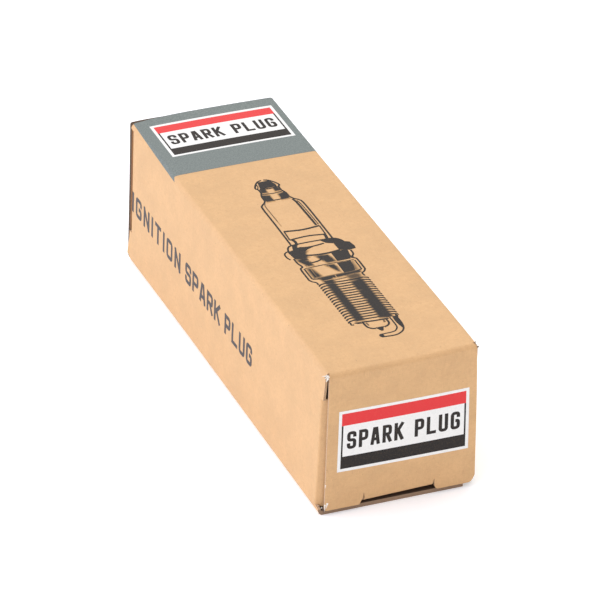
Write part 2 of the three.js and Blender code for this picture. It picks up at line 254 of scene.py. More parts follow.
def new_material(name):
    """A material, with its node tree, its shader and its output left joined."""
    material = bpy.data.materials.new(name)
    material.use_nodes = True
    tree = material.node_tree
    return material, tree, tree.nodes["Principled BSDF"]


def fill(tree, node, values):
    """Gives a node's inputs, by name or number, a plain value or a socket to join to."""
    for key, value in values.items():
        if isinstance(value, bpy.types.NodeSocket):
            tree.links.new(value, node.inputs[key])
        else:
            node.inputs[key].default_value = value


def add_node(tree, kind, values=None, **settings):
    """A new node with its settings and its inputs' values."""
    node = tree.nodes.new(kind)
    for key, value in settings.items():
        setattr(node, key, value)
    fill(tree, node, values or {})
    return node


def mapped_position(tree, scale):
    """Object position, in millimetres times scale, which is one number or one for each axis."""
    scale = scale if isinstance(scale, tuple) else (scale, scale, scale)
    position = add_node(tree, "ShaderNodeTexCoord").outputs["Object"]
    values = {0: position, 1: [s / MM for s in scale]}
    return add_node(tree, "ShaderNodeVectorMath", values, operation="MULTIPLY").outputs[0]


def position_along(tree, axis):
    """Object position along X, Y or Z, in millimetres."""
    return add_node(tree, "ShaderNodeSeparateXYZ", {0: mapped_position(tree, 1)}).outputs[axis]


def noise(tree, scale, detail, roughness=0.5, distortion=0.0):
    """A noise value from 0 to 1. scale is in cells a millimetre."""
    values = {"Vector": mapped_position(tree, scale), "Scale": 1, "Detail": detail}
    values.update({"Roughness": roughness, "Distortion": distortion})
    return add_node(tree, "ShaderNodeTexNoise", values).outputs["Fac"]


def remap(tree, value, low, high, to_low=0.0, to_high=1.0, kind="SMOOTHSTEP"):
    """value, from the range low to high into the range to_low to to_high."""
    values = dict(enumerate((value, low, high, to_low, to_high)))
    return add_node(tree, "ShaderNodeMapRange", values, interpolation_type=kind).outputs["Result"]


def mix(tree, factor, first, second):
    """A mix of two colours, each a socket or three numbers."""
    colours = [c if isinstance(c, bpy.types.NodeSocket) else (*c, 1) for c in (first, second)]
    values = {0: factor, 6: colours[0], 7: colours[1]}
    return add_node(tree, "ShaderNodeMix", values, data_type="RGBA").outputs[2]


def product(tree, first, second):
    """Two values multiplied."""
    return add_node(tree, "ShaderNodeMath", {0: first, 1: second}, operation="MULTIPLY").outputs[0]


def bump(tree, height, strength, depth):
    """A surface normal from a height. depth is the relief's height in millimetres."""
    values = {"Strength": strength, "Distance": depth * MM, "Height": height}
    return add_node(tree, "ShaderNodeBump", values).outputs["Normal"]


def scaled(colour, *factors):
    """A colour made darker or paler, by one factor or by one for each channel."""
    return [c * f for c, f in zip(colour, factors if len(factors) == 3 else factors * 3)]


def kraft_colour(tree, base):
    """The colour of unbleached board: cloudy formation, pale and dark fibres, and a few specks."""
    cloud = noise(tree, 0.22, detail=4, roughness=0.62)
    colour = mix(tree, remap(tree, cloud, 0.3, 0.7), scaled(base, 0.945), scaled(base, 1.05))
    mottle = noise(tree, 1.7, detail=4, roughness=0.68)
    colour = mix(tree, remap(tree, mottle, 0.4, 0.68, 0, 0.5), colour, scaled(base, 0.93, 0.88, 0.84))
    pale = [c * 1.16 + 0.015 for c in base]
    for long_way in ((1.3, 7, 7), (7, 1.3, 7), (7, 7, 1.3)):
        fibres = noise(tree, long_way, detail=1.5, distortion=0.4)
        colour = mix(tree, remap(tree, fibres, 0.6, 0.74, 0, 0.32), colour, pale)
        colour = mix(tree, remap(tree, fibres, 0.4, 0.27, 0, 0.32), colour, scaled(base, 0.74, 0.7, 0.66))
    values = {"Vector": mapped_position(tree, 0.42), "Scale": 1, "Randomness": 1}
    cells = add_node(tree, "ShaderNodeTexVoronoi", values, feature="F1")
    speck = remap(tree, cells.outputs["Distance"], 0.045, 0.025, 0, 0.6)
    return mix(tree, speck, colour, scaled(base, 0.33))


def kraft_bump(tree, strength):
    """The board's fine relief, as a surface normal."""
    return bump(tree, noise(tree, 2.8, detail=5, roughness=0.7), strength, 0.03)


def kraft_material(name, base, roughness, mouth=False):
    """Unbleached board. With mouth it is darkened with painted shade low down where the front end's floor
    panel stops.
    """
    material, tree, shader = new_material(name)
    colour = kraft_colour(tree, base)
    if mouth:
        # painted shade: the inside face goes dark brown low down near the front mouth
        height, start, mouth_shade = 1.2, -41, scaled(base, 0.16)
        low = remap(tree, position_along(tree, "Z"), height + 1, height)
        near = remap(tree, position_along(tree, "Y"), start + 1.5, start)
        colour = mix(tree, product(tree, low, near), colour, mouth_shade)
    values = {"Base Color": colour, "Roughness": roughness, "Specular IOR Level": 0.75}
    fill(tree, shader, values | {"Normal": kraft_bump(tree, 0.35)})
    return material


def cut_edge_material():
    """A cut edge of board: uneven plies, with painted shade that makes it near black at the rear end and
    darker along the foot.
    """
    material, tree, shader = new_material("kraft_cut_edge")
    plies = noise(tree, 9, detail=3, roughness=0.7)
    colour = mix(tree, remap(tree, plies, 0.35, 0.7), (0.38, 0.24, 0.13), (0.62, 0.43, 0.27))
    # painted shade: cut edges past the rear end go near black
    rear = remap(tree, position_along(tree, "Y"), RAW_END - 0.2, RAW_END + 0.2)
    colour = mix(tree, rear, colour, (0.1, 0.066, 0.042))
    # painted shade: cut edges low down along the foot, under the closure's overhang, go darker
    shaded_foot_height = 0.64
    foot = remap(tree, position_along(tree, "Z"), shaded_foot_height + 0.08, shaded_foot_height)
    colour = mix(tree, foot, colour, (0.26, 0.17, 0.105))
    fill(tree, shader, {"Base Color": colour, "Roughness": 0.95})
    return material


def ink_material(name, ink, roughness=0.5, coverage=1.0, mottle=0.0):
    """Ink on board. The film's "ink" value says how dense it is, and the board shows through.
    mottle is how far its shade varies with the board's surface."""
    material, tree, shader = new_material(name)
    density = add_node(tree, "ShaderNodeAttribute", attribute_name="ink").outputs["Fac"]
    flecks = noise(tree, 4.5, detail=3, roughness=0.65)
    density = product(tree, density, remap(tree, flecks, 0.45, 0.75, coverage, 0.95 * coverage))
    uneven = mix(tree, remap(tree, flecks, 0.35, 0.65), scaled(ink, 1 - mottle), scaled(ink, 1 + mottle))
    colour = mix(tree, density, kraft_colour(tree, KRAFT_BASE), uneven)
    values = {"Base Color": colour, "Roughness": roughness, "Specular IOR Level": 0.2}
    fill(tree, shader, values | {"Normal": kraft_bump(tree, 0.2)})
    return material


def metal_material(name, colour, roughness):
    """Plain or plated metal with faint turning marks and stains."""
    material, tree, shader = new_material(name)
    cloud = noise(tree, 0.35, detail=4, roughness=0.6)
    stained = mix(tree, remap(tree, cloud, 0.35, 0.7), colour, scaled(colour, 0.88))
    marks = noise(tree, (1.2, 6, 1.2), detail=3, roughness=0.6)
    rough = remap(tree, marks, 0.3, 0.7, roughness * 0.8, roughness * 1.25)
    values = {"Base Color": stained, "Roughness": rough, "Metallic": 1}
    fill(tree, shader, values | {"Normal": bump(tree, marks, 0.35, 0.012)})
    return material


def dielectric_material(name, colour, roughness, uneven=0.06, coat=0.0, depth=0.02, cells=1.5):
    """Glue, glass, talc or glazed ceramic: a slightly uneven colour and a fine surface."""
    material, tree, shader = new_material(name)
    cloud = noise(tree, cells, detail=4, roughness=0.6)
    low, high = scaled(colour, 1 - uneven), scaled(colour, 1 + uneven)
    values = {"Base Color": mix(tree, remap(tree, cloud, 0.3, 0.7), low, high), "Roughness": roughness}
    values.update({"Coat Weight": coat, "Coat Roughness": 0.05})
    fill(tree, shader, values | {"Normal": bump(tree, cloud, 0.3, depth)})
    return material


KRAFT_BASE = (0.6, 0.361, 0.155)
KRAFT_INSIDE_BASE = (0.46, 0.27, 0.135)
KRAFT = kraft_material("kraft_outside", KRAFT_BASE, 0.62)
# mouth=True adds painted shade low down inside the front mouth
KRAFT_INSIDE = kraft_material("kraft_inside", KRAFT_INSIDE_BASE, 0.85, mouth=True)
KRAFT_EDGE = cut_edge_material()
BLACK_INK = ink_material("black_ink", (0.021, 0.0185, 0.017), 0.6)
SIDE_INK = ink_material("side_ink", (0.04, 0.04, 0.047), 0.5, coverage=0.97)
GREY_INK = ink_material("grey_ink", (0.161, 0.191, 0.18), 0.5, mottle=0.16)
WHITE_INK = ink_material("white_ink", (0.77, 0.775, 0.74), 0.45, mottle=0.04)
RED_INK = ink_material("red_ink", (0.68, 0.04, 0.042), 0.5)
PLATED_STEEL = metal_material("plated_steel", (0.4, 0.405, 0.415), 0.26)
BARE_STEEL = metal_material("bare_steel", (0.3, 0.3, 0.305), 0.36)
NICKEL = metal_material("nickel_alloy", (0.33, 0.32, 0.3), 0.34)
COPPER = metal_material("copper", (0.72, 0.32, 0.17), 0.3)
CERAMIC = dielectric_material("glazed_ceramic", (0.62, 0.615, 0.59), 0.16, 0.015, 0.6, 0.01)
TORN_FIBRE = dielectric_material("torn_fibre", (0.8, 0.76, 0.68), 0.95, 0.15, depth=0.05, cells=6)
# dark bits at the left foot, and painted shade where the slit gapes at the top right corner
DARK_BITS_AND_SHADE = dielectric_material("soiled_board", (0.16, 0.11, 0.075), 0.95, 0.3, depth=0.05, cells=6)
GLUE = dielectric_material("glue", (0.74, 0.69, 0.55), 0.35, 0.08)
GLASS_SEAL = dielectric_material("glass_seal", (0.115, 0.075, 0.06), 0.3, 0.25, cells=4)
RESISTOR = dielectric_material("resistor_body", (0.045, 0.04, 0.038), 0.65, 0.3, cells=4)
TALC = dielectric_material("talc", (0.72, 0.7, 0.65), 0.95, 0.08, depth=0.05, cells=5)


# ---------------------------------------------------------------- carton: the folded blank

GLUE_END = flap_high.y
DUST_EAR = 2.0  # the dust flap's crease runs on below the flap by this much
DUST_TRIM = 0.8  # the cut corners at a dust flap's free end
NOTCH = (DUST_FOOT - DUST_EAR - SLIT, DUST_HEAD + SLIT)  # the wall's cut out part at the front
REAR_NOTCH = (HEIGHT - NOTCH[1], HEIGHT - NOTCH[0])


def dust_crease():
    """The right dust flap's crease: a sharp bend, a short slant and a soft bend, as places in X and
    Y with their outward directions, starting at Y zero."""
    sharp, slant, soft, turn = 0.45, 0.75, 0.8, 62
    path = arc((HALF_WIDTH - sharp, 0), sharp, 0, -turn, 6)
    (x, y), (out_x, out_y) = path[-1]
    x, y = x + slant * out_y, y - slant * out_x
    path += arc((x - soft * out_x, y - soft * out_y), soft, -turn, -90, 5)
    return path


CREASE_END = dust_crease()[-1][0]
WALL_END = DUST_OUTER + CREASE_END[1] - LEAD  # where a wall meets a dust flap's piece


def wall_heights(low, high):
    """Heights up a wall, with two close together at each end of a notch."""
    levels = [level for level in (*NOTCH, *REAR_NOTCH) if low < level < high]
    cuts = [level + side * STEP for level in levels for side in (-1, 1)]
    found = [z for z in stations(low, high, 1.6) if all(abs(z - cut) > 0.2 for cut in cuts)]
    return sorted([*found, *cuts])


def wall_end(z):
    """How far a wall reaches at the front: to its dust flap's crease, and past that to an end cut
    on a slant above the flap and square under it."""
    if NOTCH[0] < z < NOTCH[1]:
        return WALL_END
    if z < NOTCH[0]:
        return BEHIND_CLOSURE
    return BEHIND_CLOSURE - 0.5 * clamped((HEIGHT - 1.2 - z) / 4)


def wall_ends(z, trim=0.0):
    """A wall's front and rear ends at a height. trim shortens it in front."""
    return trim - wall_end(z), wall_end(HEIGHT - z)


def sleeve_section():
    """The blank's path round the carton, from the right wall's raw lower edge to the glue flap.
    Each entry is its place in X and Z, its outward direction, and its front and rear ends."""
    side, top = HALF_WIDTH - FOLD, HEIGHT - FOLD
    raw_foot, trimmed = 0.45, 1.6
    flap_face = flap_high.x
    wall = wall_heights(raw_foot, top)
    path = [((HALF_WIDTH, z), (1, 0), wall_ends(z, clamped(trimmed - z))) for z in wall]
    corner = (-RAW_END, RAW_END)
    path += [(p, out, corner) for p, out in arc((side, top), FOLD, 0, 90)[1:-1]]
    path += [((x, HEIGHT), (0, 1), (-FOLD_END, RAW_END)) for x in stations(side, -side)]
    path += [(p, out, corner) for p, out in arc((-side, top), FOLD, 90, 180)[1:-1]]
    path += [((-HALF_WIDTH, z), (-1, 0), wall_ends(z)) for z in reversed(wall_heights(FOLD, top))]
    foot = (-BEHIND_CLOSURE, RAW_END)
    path += [(p, out, foot) for p, out in arc((-side, FOLD), FOLD, 180, 270)[1:-1]]
    bottom = (-BEHIND_CLOSURE, FOLD_END)
    path += [((x, 0), (0, -1), bottom) for x in stations(-side, flap_face - FOLD - 0.4)]
    flap = (-GLUE_END, GLUE_END)
    path += [((flap_face - FOLD - 0.2, 0), (0, -1), flap)]
    path += [(p, out, flap) for p, out in arc((flap_face - FOLD, FOLD), FOLD, 270, 360)]
    path += [((flap_face, z), (1, 0), flap) for z in stations(FOLD, flap_high.z)[1:]]
    return path


def carton_body():
    """The four panels and the glue flap, as one folded piece of board."""
    middle = stations(-36, 36)
    near_end = (0, 0.35, 1.0, 2.4)
    rows = []
    for (x, z), (out_x, out_z), (front, rear) in sleeve_section():
        ys = [front + d for d in near_end] + middle + [rear - d for d in reversed(near_end)]
        rows.append([((x, y, z), (out_x, 0, out_z)) for y in ys])
    piece = board_piece("carton_body", rows)
    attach(piece, "carton")
    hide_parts("carton_sleeve", "glue_flap")


# ---------------------------------------------------------------- carton: closures and flaps

TAB_PLANE_OUT = (math.sin(TAB_SLOPE), -math.cos(TAB_SLOPE))
TAB_FOLD_Y = -HALF_LENGTH + TAB_FOLD
TAB_RISE = (TAB_FOLD + (TAB_FOLD_Y - TAB_FRONT) * math.sin(TAB_SLOPE)) / math.cos(TAB_SLOPE)
TAB_FOLD_Z = TAB_UNDER + TAB_RISE - 0.28  # the fold sags a little
CLOSURE_MIDDLE = TAB_FOLD_Z + 0.1  # the closure's lower edge beside the tuck tab's fold
CREASE_TILT = 0.015  # the tuck tab's crease rises to the right
CORNER_LEFT, CORNER_RIGHT, CORNER_SLIT = 0.35, 1.05, 0.6  # the shoulders' corners
SLIT_HALF, SLIT_RISE = 0.06, 0.55  # the cuts at the crease's ends run on up the panel
NECK_REACH = BOARD + 0.3  # the tuck tab is narrow up to here


def round_corner(over, radius):
    """How far a round corner rises, over being the distance past its start."""
    over = min(radius, max(0, over))
    return radius - math.sqrt(radius**2 - over**2)


def closure_foot(x):
    """The closure's lower edge at x: two shoulders with the tuck tab's fold between them."""
    past_slit = abs(x) - CREASE_HALF
    if abs(past_slit) < SLIT_HALF:
        return CLOSURE_MIDDLE + SLIT_RISE
    if past_slit < 0:
        return CLOSURE_MIDDLE + CREASE_TILT * x
    if x < 0:
        slant = 0.9 * max(0, 1 + (x + CREASE_HALF + SLIT_HALF) / CORNER_SLIT)
        return CLOSURE_FOOT + slant + round_corner(CLOSURE_LEFT + CORNER_LEFT - x, CORNER_LEFT)
    outer = round_corner(x - CLOSURE_RIGHT + CORNER_RIGHT, CORNER_RIGHT)
    inner = round_corner(CREASE_HALF + SLIT_HALF + STEP + CORNER_SLIT - x, CORNER_SLIT)
    return CLOSURE_FOOT + outer + inner


def closure_columns():
    """Places across the closure, close together at its corners and at the slits."""
    edge, quarter = SLIT_HALF + STEP, math.pi / 2
    slit = [CREASE_HALF - edge, CREASE_HALF - SLIT_HALF + STEP, CREASE_HALF + SLIT_HALF - STEP]
    rise = [1 - math.cos(a) for a in spread(0, quarter, 5)]
    bend_slit = [CREASE_HALF + edge + CORNER_SLIT * share for share in rise]
    bend_left = [CLOSURE_LEFT + CORNER_LEFT * share for share in rise]
    bend_right = [CLOSURE_RIGHT - CORNER_RIGHT * (1 - math.sin(a)) for a in spread(0, quarter, 9)]
    left = bend_left + stations(bend_left[-1], -bend_slit[-1], 1.4)[1:] + [-edge - CREASE_HALF]
    middle = stations(-slit[0], slit[0], 1.4)
    right = bend_slit + stations(bend_slit[-1], bend_right[0], 1.4)[1:-1] + bend_right
    return left + [-x for x in reversed(slit[1:])] + middle + slit[1:] + right


def closure_piece(prefix):
    """An end panel with the crease that hinges it to the carton."""
    centre = (-HALF_LENGTH + FOLD, HEIGHT - FOLD)
    path = [((-FOLD_END, HEIGHT), (0, 1)), *arc(centre, FOLD, 90, 180)]
    downs = [0.04, 0.09, 0.15, *spread(0.22, 0.9, 9), 0.94, 0.97, 0.985, 1.0]
    columns = closure_columns()
    flat = HALF_WIDTH - FOLD
    at_fold = [min(flat, max(-flat, x)) + 0.001 * x for x in columns]
    rows = []
    for i, ((y, z), (out_y, out_z)) in enumerate(path):
        share = min(1, i / 8)  # the panel widens over the fold's first rows
        across = [a + (x - a) * share for a, x in zip(at_fold, columns)]
        rows.append([((x, y, z), (0, out_y, out_z)) for x in across])
    for down in downs:
        heights = [centre[1] + down * (closure_foot(x) - centre[1]) for x in columns]
        rows.append([((x, -HALF_LENGTH, z), (0, -1, 0)) for x, z in zip(columns, heights)])
    turn = 0.6  # how far from the fold's centre the two ends lie
    ends = [(0, centre[0], centre[1] + turn), (0, centre[0] - turn, centre[1])]
    closure = f"{prefix}_closure"
    hinged_board(f"{closure}_board", rows, "carton", closure, ends, prefix == "rear")


def tab_half_width(reach):
    """Half the tuck tab's width at a distance past its fold."""
    if reach < NECK_REACH:
        return NECK_HALF
    over = max(0, reach - (TAB_REACH - TAB_CORNER))
    return TAB_HALF - TAB_CORNER + math.sqrt(max(0, TAB_CORNER**2 - over**2))


def tuck_piece(prefix):
    """The tuck tab with its fold, from the closure's lower edge inwards."""
    folded = arc((TAB_FOLD_Y, TAB_FOLD_Z), TAB_FOLD, 180, 270 + math.degrees(TAB_SLOPE))
    path = [((-HALF_LENGTH, CLOSURE_MIDDLE), (-1, 0), NECK_HALF)]
    path += [(p, out, NECK_HALF) for p, out in folded]
    (end_y, end_z), _ = folded[-1]
    corner = [TAB_CORNER * math.sin(a) for a in spread(0, math.pi / 2, 8)]
    reaches = [NECK_REACH - STEP, NECK_REACH + STEP, 1.6, 3.0, 4.4]
    reaches += [TAB_REACH - TAB_CORNER + step for step in corner]
    for reach in reaches:
        along = reach - (end_y - TAB_FRONT)
        if along > 0:
            place = (end_y + along * math.cos(TAB_SLOPE), end_z + along * math.sin(TAB_SLOPE))
            path.append((place, TAB_PLANE_OUT, tab_half_width(reach)))
    rows = [
        [((half * s, y, z + CREASE_TILT * half * s), (0, *out)) for s in spread(-1, 1, 16)]
        for (y, z), out, half in path
    ]
    turn = 0.7  # how far from the fold's centre the two ends lie
    ends = [(0, TAB_FOLD_Y - turn, TAB_FOLD_Z), (0, TAB_FOLD_Y, TAB_FOLD_Z - turn)]
    closure, tab = f"{prefix}_closure", f"{prefix}_tuck_tab"
    hinged_board(f"{prefix}_tuck_board", rows, closure, tab, ends, prefix == "rear")


def dust_piece(prefix, side):
    """A dust flap with its crease, from the wall inwards. side is 1 on the right."""
    name = "right" if side > 0 else "left"
    path = [((HALF_WIDTH, -WALL_END), (1, 0), 0)]
    path += [((x, y - WALL_END - LEAD), out, 0) for (x, y), out in dust_crease()]
    crease, spacing = CREASE_END[0], 1.2
    reach = crease - DUST_FREE
    inwards = stations(0, reach - DUST_TRIM, spacing)[1:]
    path += [((crease - d, -DUST_OUTER), (0, -1), d) for d in inwards]
    path += [((crease - reach, -DUST_OUTER), (0, -1), reach)]
    rows = []
    for (x, y), (out_x, out_y), d in path:
        trim = DUST_TRIM if d == reach else 0
        head = DUST_HEAD - d * math.tan(DUST_TAPER) - trim
        foot = DUST_FOOT + trim - DUST_EAR * max(0, 1 - d / spacing)
        rows.append([((side * x, y, z), (side * out_x, out_y, 0)) for z in spread(foot, head, 14)])
    ends = [(side * HALF_WIDTH, -WALL_END - LEAD), (side * crease, -DUST_OUTER)]
    ends = [(*end, HEIGHT / 2) for end in ends]
    flap = f"{prefix}_dust_flap_{name}"
    hinged_board(f"{prefix}_dust_board_{name}", rows, "carton", flap, ends, prefix == "rear")


def torn_and_shade_chips(name, body, finish, chips):
    """Small bits of board, torn ones or dark ones for painted shade. Each chip is its root, its tip and its
    width.
    """
    thickness = 0.1
    points, faces = [], []
    for root, tip, width in chips:
        root, tip = Vector(as_folded(root)), Vector(as_folded(tip))
        across = (tip - root).cross(Vector((1, 2, 1))).normalized() * width / 2
        raised = (tip - root).cross(across).normalized() * thickness / 2
        first = len(points)
        points += [root + across + raised, root - across + raised, root - raised, tip]
        triangles = ((0, 1, 3), (1, 2, 3), (2, 0, 3), (0, 2, 1))
        faces += [tuple(first + i for i in triangle) for triangle in triangles]
    piece = make_piece(name, points, faces, [finish])
    outward_normals(piece)
    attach(piece, body)


def worn_and_shaded_corners():
    """Where the print side of the board has torn: pale fibres, and dark bits at the left foot. At the top
    right corner of the front, dark bits are painted shade where the slit gapes.
    """
    pale_corner = [
        ((-12.3, -42.3, 24.95), (-13.35, -42.0, 24.95), 0.6),
        ((-12.35, -42.35, 24.7), (-12.7, -42.3, 25.35), 0.6),
        ((-12.5, -42.3, 24.8), (-13.0, -42.2, 24.5), 0.4),
        ((-12.4, -42.35, 24.6), (-12.75, -42.35, 23.9), 0.45),
        ((-12.15, -42.5, 1.3), (-12.25, -42.62, 0.5), 0.24),
        ((-11.75, -42.5, 1.5), (-12.05, -42.62, 0.7), 0.3),
        ((-12.18, -42.5, 4.9), (-12.3, -42.6, 4.3), 0.16),
    ]
    pale_foot = [
        ((-12.2, -41.3, 0.7), (-12.6, -41.9, 1.0), 0.35),
        ((-12.1, -41.6, 0.5), (-12.4, -42.2, 0.9), 0.3),
    ]
    # dark bits in the gap under the left shoulder's foot
    dark_foot = [
        ((-11.9, -41.5, 0.5), (-12.55, -42.04, 0.1), 0.6),
        ((-11.8, -41.7, 0.6), (-12.2, -42.3, 0.2), 0.5),
    ]
    # painted shade: dark bits where the slit gapes at the top right corner
    gap_shade_corner = [
        ((12.2, -41.6, 24.75), (12.8, -41.4, 24.9), 0.7),
        ((12.3, -42.3, 24.5), (12.9, -42.2, 24.2), 1.1),
    ]
    torn_and_shade_chips("torn_corner_left", "front_closure", TORN_FIBRE, pale_corner)
    torn_and_shade_chips("torn_foot_left", "carton", TORN_FIBRE, pale_foot)
    torn_and_shade_chips("soiled_foot_left", "carton", DARK_BITS_AND_SHADE, dark_foot)
    torn_and_shade_chips("torn_corner_right", "front_closure", DARK_BITS_AND_SHADE, gap_shade_corner)


# ---------------------------------------------------------------- spark plug

# Stations run along the plug from its terminal's tip.
NUT_END = nut_high.y - PLUG_TIP
CRIMP_TOP = shell_low.y - PLUG_TIP
SHELL_END = shell_high.y - PLUG_TIP
HEX_TOP, HEX_END = CRIMP_TOP + 1.8, CRIMP_TOP + 7.8
HEX_FLAT = shell_high.z - PLUG_AXIS  # from the axis to a flat
HEX_CORNER = HEX_FLAT / math.cos(math.pi / 6)
CHAMFER_START, CHAMFER_RUN = HEX_CORNER - 1.3, 0.8
SEAT_END = SHELL_END - 19.4  # where the taper seat ends and the thread starts
NOSE_END = nose_high.y - PLUG_TIP
INSULATOR_TOP = nose_low.y - PLUG_TIP
BORE_STEP = SHELL_END - 15.8
# A thread's outline over one turn, in shares of its pitch and its depth.
THREAD_SHAPE = ((0, 0), (0.14, 0), (0.42, 0.93), (0.48, 1), (0.64, 1), (0.7, 0.93))


def on_plug(radius, station, angle):
    """A place round the plug's axis."""
    return (radius * math.cos(angle), PLUG_TIP + station, PLUG_AXIS + radius * math.sin(angle))


def thread_rows(start, end, crest, root, pitch):
    """Rows that follow a screw thread, which dies out at both ends."""

    def row_at(base, share):
        def row(angle):
            station = min(end, max(start, base + pitch * angle / (2 * math.pi)))
            depth = min(1, (station - start) / pitch, (end - station) / pitch)
            return root + (crest - root) * share * depth, station

        return row

    turns = math.ceil((end - start) / pitch) + 2
    return [
        row_at(start + pitch * (turn - 1 + phase), share)
        for turn in range(turns)
        for phase, share in THREAD_SHAPE
    ]


def turned_piece(node, body, finish, before, thread=(), after=(), sides=72):
    """A turned piece in place of a CAD node. Each row is a radius and a station, or a function
    that gives them at an angle. The rows of a thread run on from one turn to the next."""
    rows = [*before, *thread, *after]
    first, last = len(before), len(before) + len(thread) - 1
    points = []
    for row in rows:
        for angle in spread(0, 2 * math.pi, sides)[:-1]:
            points.append(on_plug(*(row(angle) if callable(row) else row), angle))

    def at(r, c):
        if c == sides and first <= r <= last:
            r = min(r + len(THREAD_SHAPE), last)
        return r * sides + c % sides

    faces = [
        (at(r, c), at(r, c + 1), at(r + 1, c + 1), at(r + 1, c))
        for r in range(len(rows) - 1)
        for c in range(sides)
    ]
    piece = make_piece(f"{node}_smooth", points, faces, [finish])
    outward_normals(piece, merge=True)
    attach(piece, body)
    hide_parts(node)


def soft_profile(*profile, radius=0.3):
    """A profile's rows with its inner corners rounded."""
    return [tuple(p) for p in rounded_path(profile, radius)]


def chamfer_row(end, inwards):
    """Where the hexagon's flats, which face up and down, meet its turned chamfer."""

    def row(angle):
        off = angle % (math.pi / 3) - math.pi / 6
        radius = min(HEX_FLAT / math.cos(off), HEX_CORNER - 0.1)
        share = (radius - CHAMFER_START) / (HEX_CORNER - CHAMFER_START)
        return radius, end + inwards * CHAMFER_RUN * share

    return row


def metal_shell():
    """Crimp, hexagon, barrel, taper seat and thread, and the bore inside."""
    lip, crimp, groove, barrel, cavity, bore = 5.35, 7.0, 7.05, 7.4, 6.4, 4.4
    root = 5.28
    barrel_top, seat_top = HEX_END + 2.2, HEX_END + 7.4
    before = soft_profile(
        (lip, CRIMP_TOP + 1.1), (lip, CRIMP_TOP + 0.3), (lip + 0.5, CRIMP_TOP),
        (crimp - 0.5, CRIMP_TOP + 0.3), (crimp, CRIMP_TOP + 1.1), (crimp, HEX_TOP), radius=0.5,
    )
    before += [(CHAMFER_START, HEX_TOP), chamfer_row(HEX_TOP, 1), chamfer_row(HEX_END, -1)]
    before += [(CHAMFER_START, HEX_END)]
    before += soft_profile(
        (groove, HEX_END), (groove, barrel_top - 0.5), (barrel, barrel_top + 0.2), (barrel, seat_top),
        (root + 0.3, SEAT_END - 0.2), (root, SEAT_END),
    )
    thread = thread_rows(SEAT_END, SHELL_END - 0.6, 6.0, root, 1.25)
    after = soft_profile(
        (root, SHELL_END - 0.6), (root, SHELL_END), (bore, SHELL_END), (bore, SHELL_END - 18.2),
        (cavity, SHELL_END - 20.7), (cavity, CRIMP_TOP + 1.5), (lip, CRIMP_TOP + 1.1), radius=0.15,
    )
    turned_piece("metal_shell", "plug", PLATED_STEEL, before, thread, after)


def terminal_nut():
    """A domed nut with a groove round its middle and a blind hole."""
    head, neck, hole, depth = 3.1, 2.35, 2.1, 2.4
    profile = soft_profile(
        (0, 0), (1.9, 0), (2.75, 0.4), (head, 1.4), (head, 2.3), (2.75, 3.1), (neck, 3.8),
        (neck, 5.2), (2.95, 5.9), (head, 6.4), (head, NUT_END - 0.25), (head - 0.25, NUT_END),
        (hole, NUT_END), (hole, depth), (0, depth), radius=0.4,
    )
    turned_piece("terminal_nut", "terminal_nut", PLATED_STEEL, profile, sides=48)


def terminal_stud():
    """A threaded end inside the nut, a collar, and a stem down the insulator's bore."""
    start, stud, collar, stud_end = 3.2, 1.95, 2.8, 36
    root = stud - 0.4
    before = [(0, start - 0.4), (root - 0.2, start - 0.4), (root, start - 0.2), (root, start)]
    thread = thread_rows(start, NUT_END - 0.1, stud, root, 0.7)
    after = soft_profile(
        (root, NUT_END - 0.1), (root, NUT_END + CLEARANCE), (collar, NUT_END + CLEARANCE),
        (collar, INSULATOR_TOP - CLEARANCE), (stud, INSULATOR_TOP - CLEARANCE),
        (stud, stud_end - 0.5), (stud - 0.5, stud_end), (0, stud_end), radius=0.1,
    )
    turned_piece("terminal_stud", "plug", BARE_STEEL, before, thread, after, sides=48)


def insulator():
    """Neck, flange and nose, around the bore that steps down towards the tip."""
    upper, lower = 2.15, 1.4
    neck, flange, nose, tip = 5.15, 6.2, 3.9, 2.3
    flange_top, flange_end, nose_start = SHELL_END - 29.1, SHELL_END - 21.8, SHELL_END - 19.4
    profile = soft_profile(
        (upper, INSULATOR_TOP + 0.3), (upper + 0.2, INSULATOR_TOP), (3.7, INSULATOR_TOP),
        (3.95, INSULATOR_TOP + 0.9), (neck - 0.45, INSULATOR_TOP + 1.4), (neck, INSULATOR_TOP + 2.6),
        (neck, flange_top - 0.7), (flange, flange_top), (flange, flange_end), (nose, nose_start),
        (tip, NOSE_END - 0.4), (tip - 0.35, NOSE_END), (lower, NOSE_END), (lower, BORE_STEP),
        (upper, BORE_STEP - 0.6), (upper, INSULATOR_TOP + 0.3), radius=0.5,
    )
    turned_piece("insulator", "plug", CERAMIC, profile)


def centre_electrode():
    """A hollow pin with a head, and a short tip that stands out of the insulator's nose."""
    hole, head, stem, tip_radius = 0.8, 2.03, 1.28, 0.45
    tip, top = electrode_high.y - PLUG_TIP, BORE_STEP - 2.4
    profile = soft_profile(
        (hole, top), (head, top), (head, BORE_STEP - 0.95), (stem, BORE_STEP - 0.35),
        (stem, NOSE_END + 0.5), (tip_radius + 0.1, NOSE_END + 0.9), (tip_radius, tip), (0, tip),
        (0, NOSE_END - 3), (hole, NOSE_END - 3.4), (hole, top), radius=0.12,
    )
    turned_piece("centre_electrode", "plug", NICKEL, profile, sides=48)


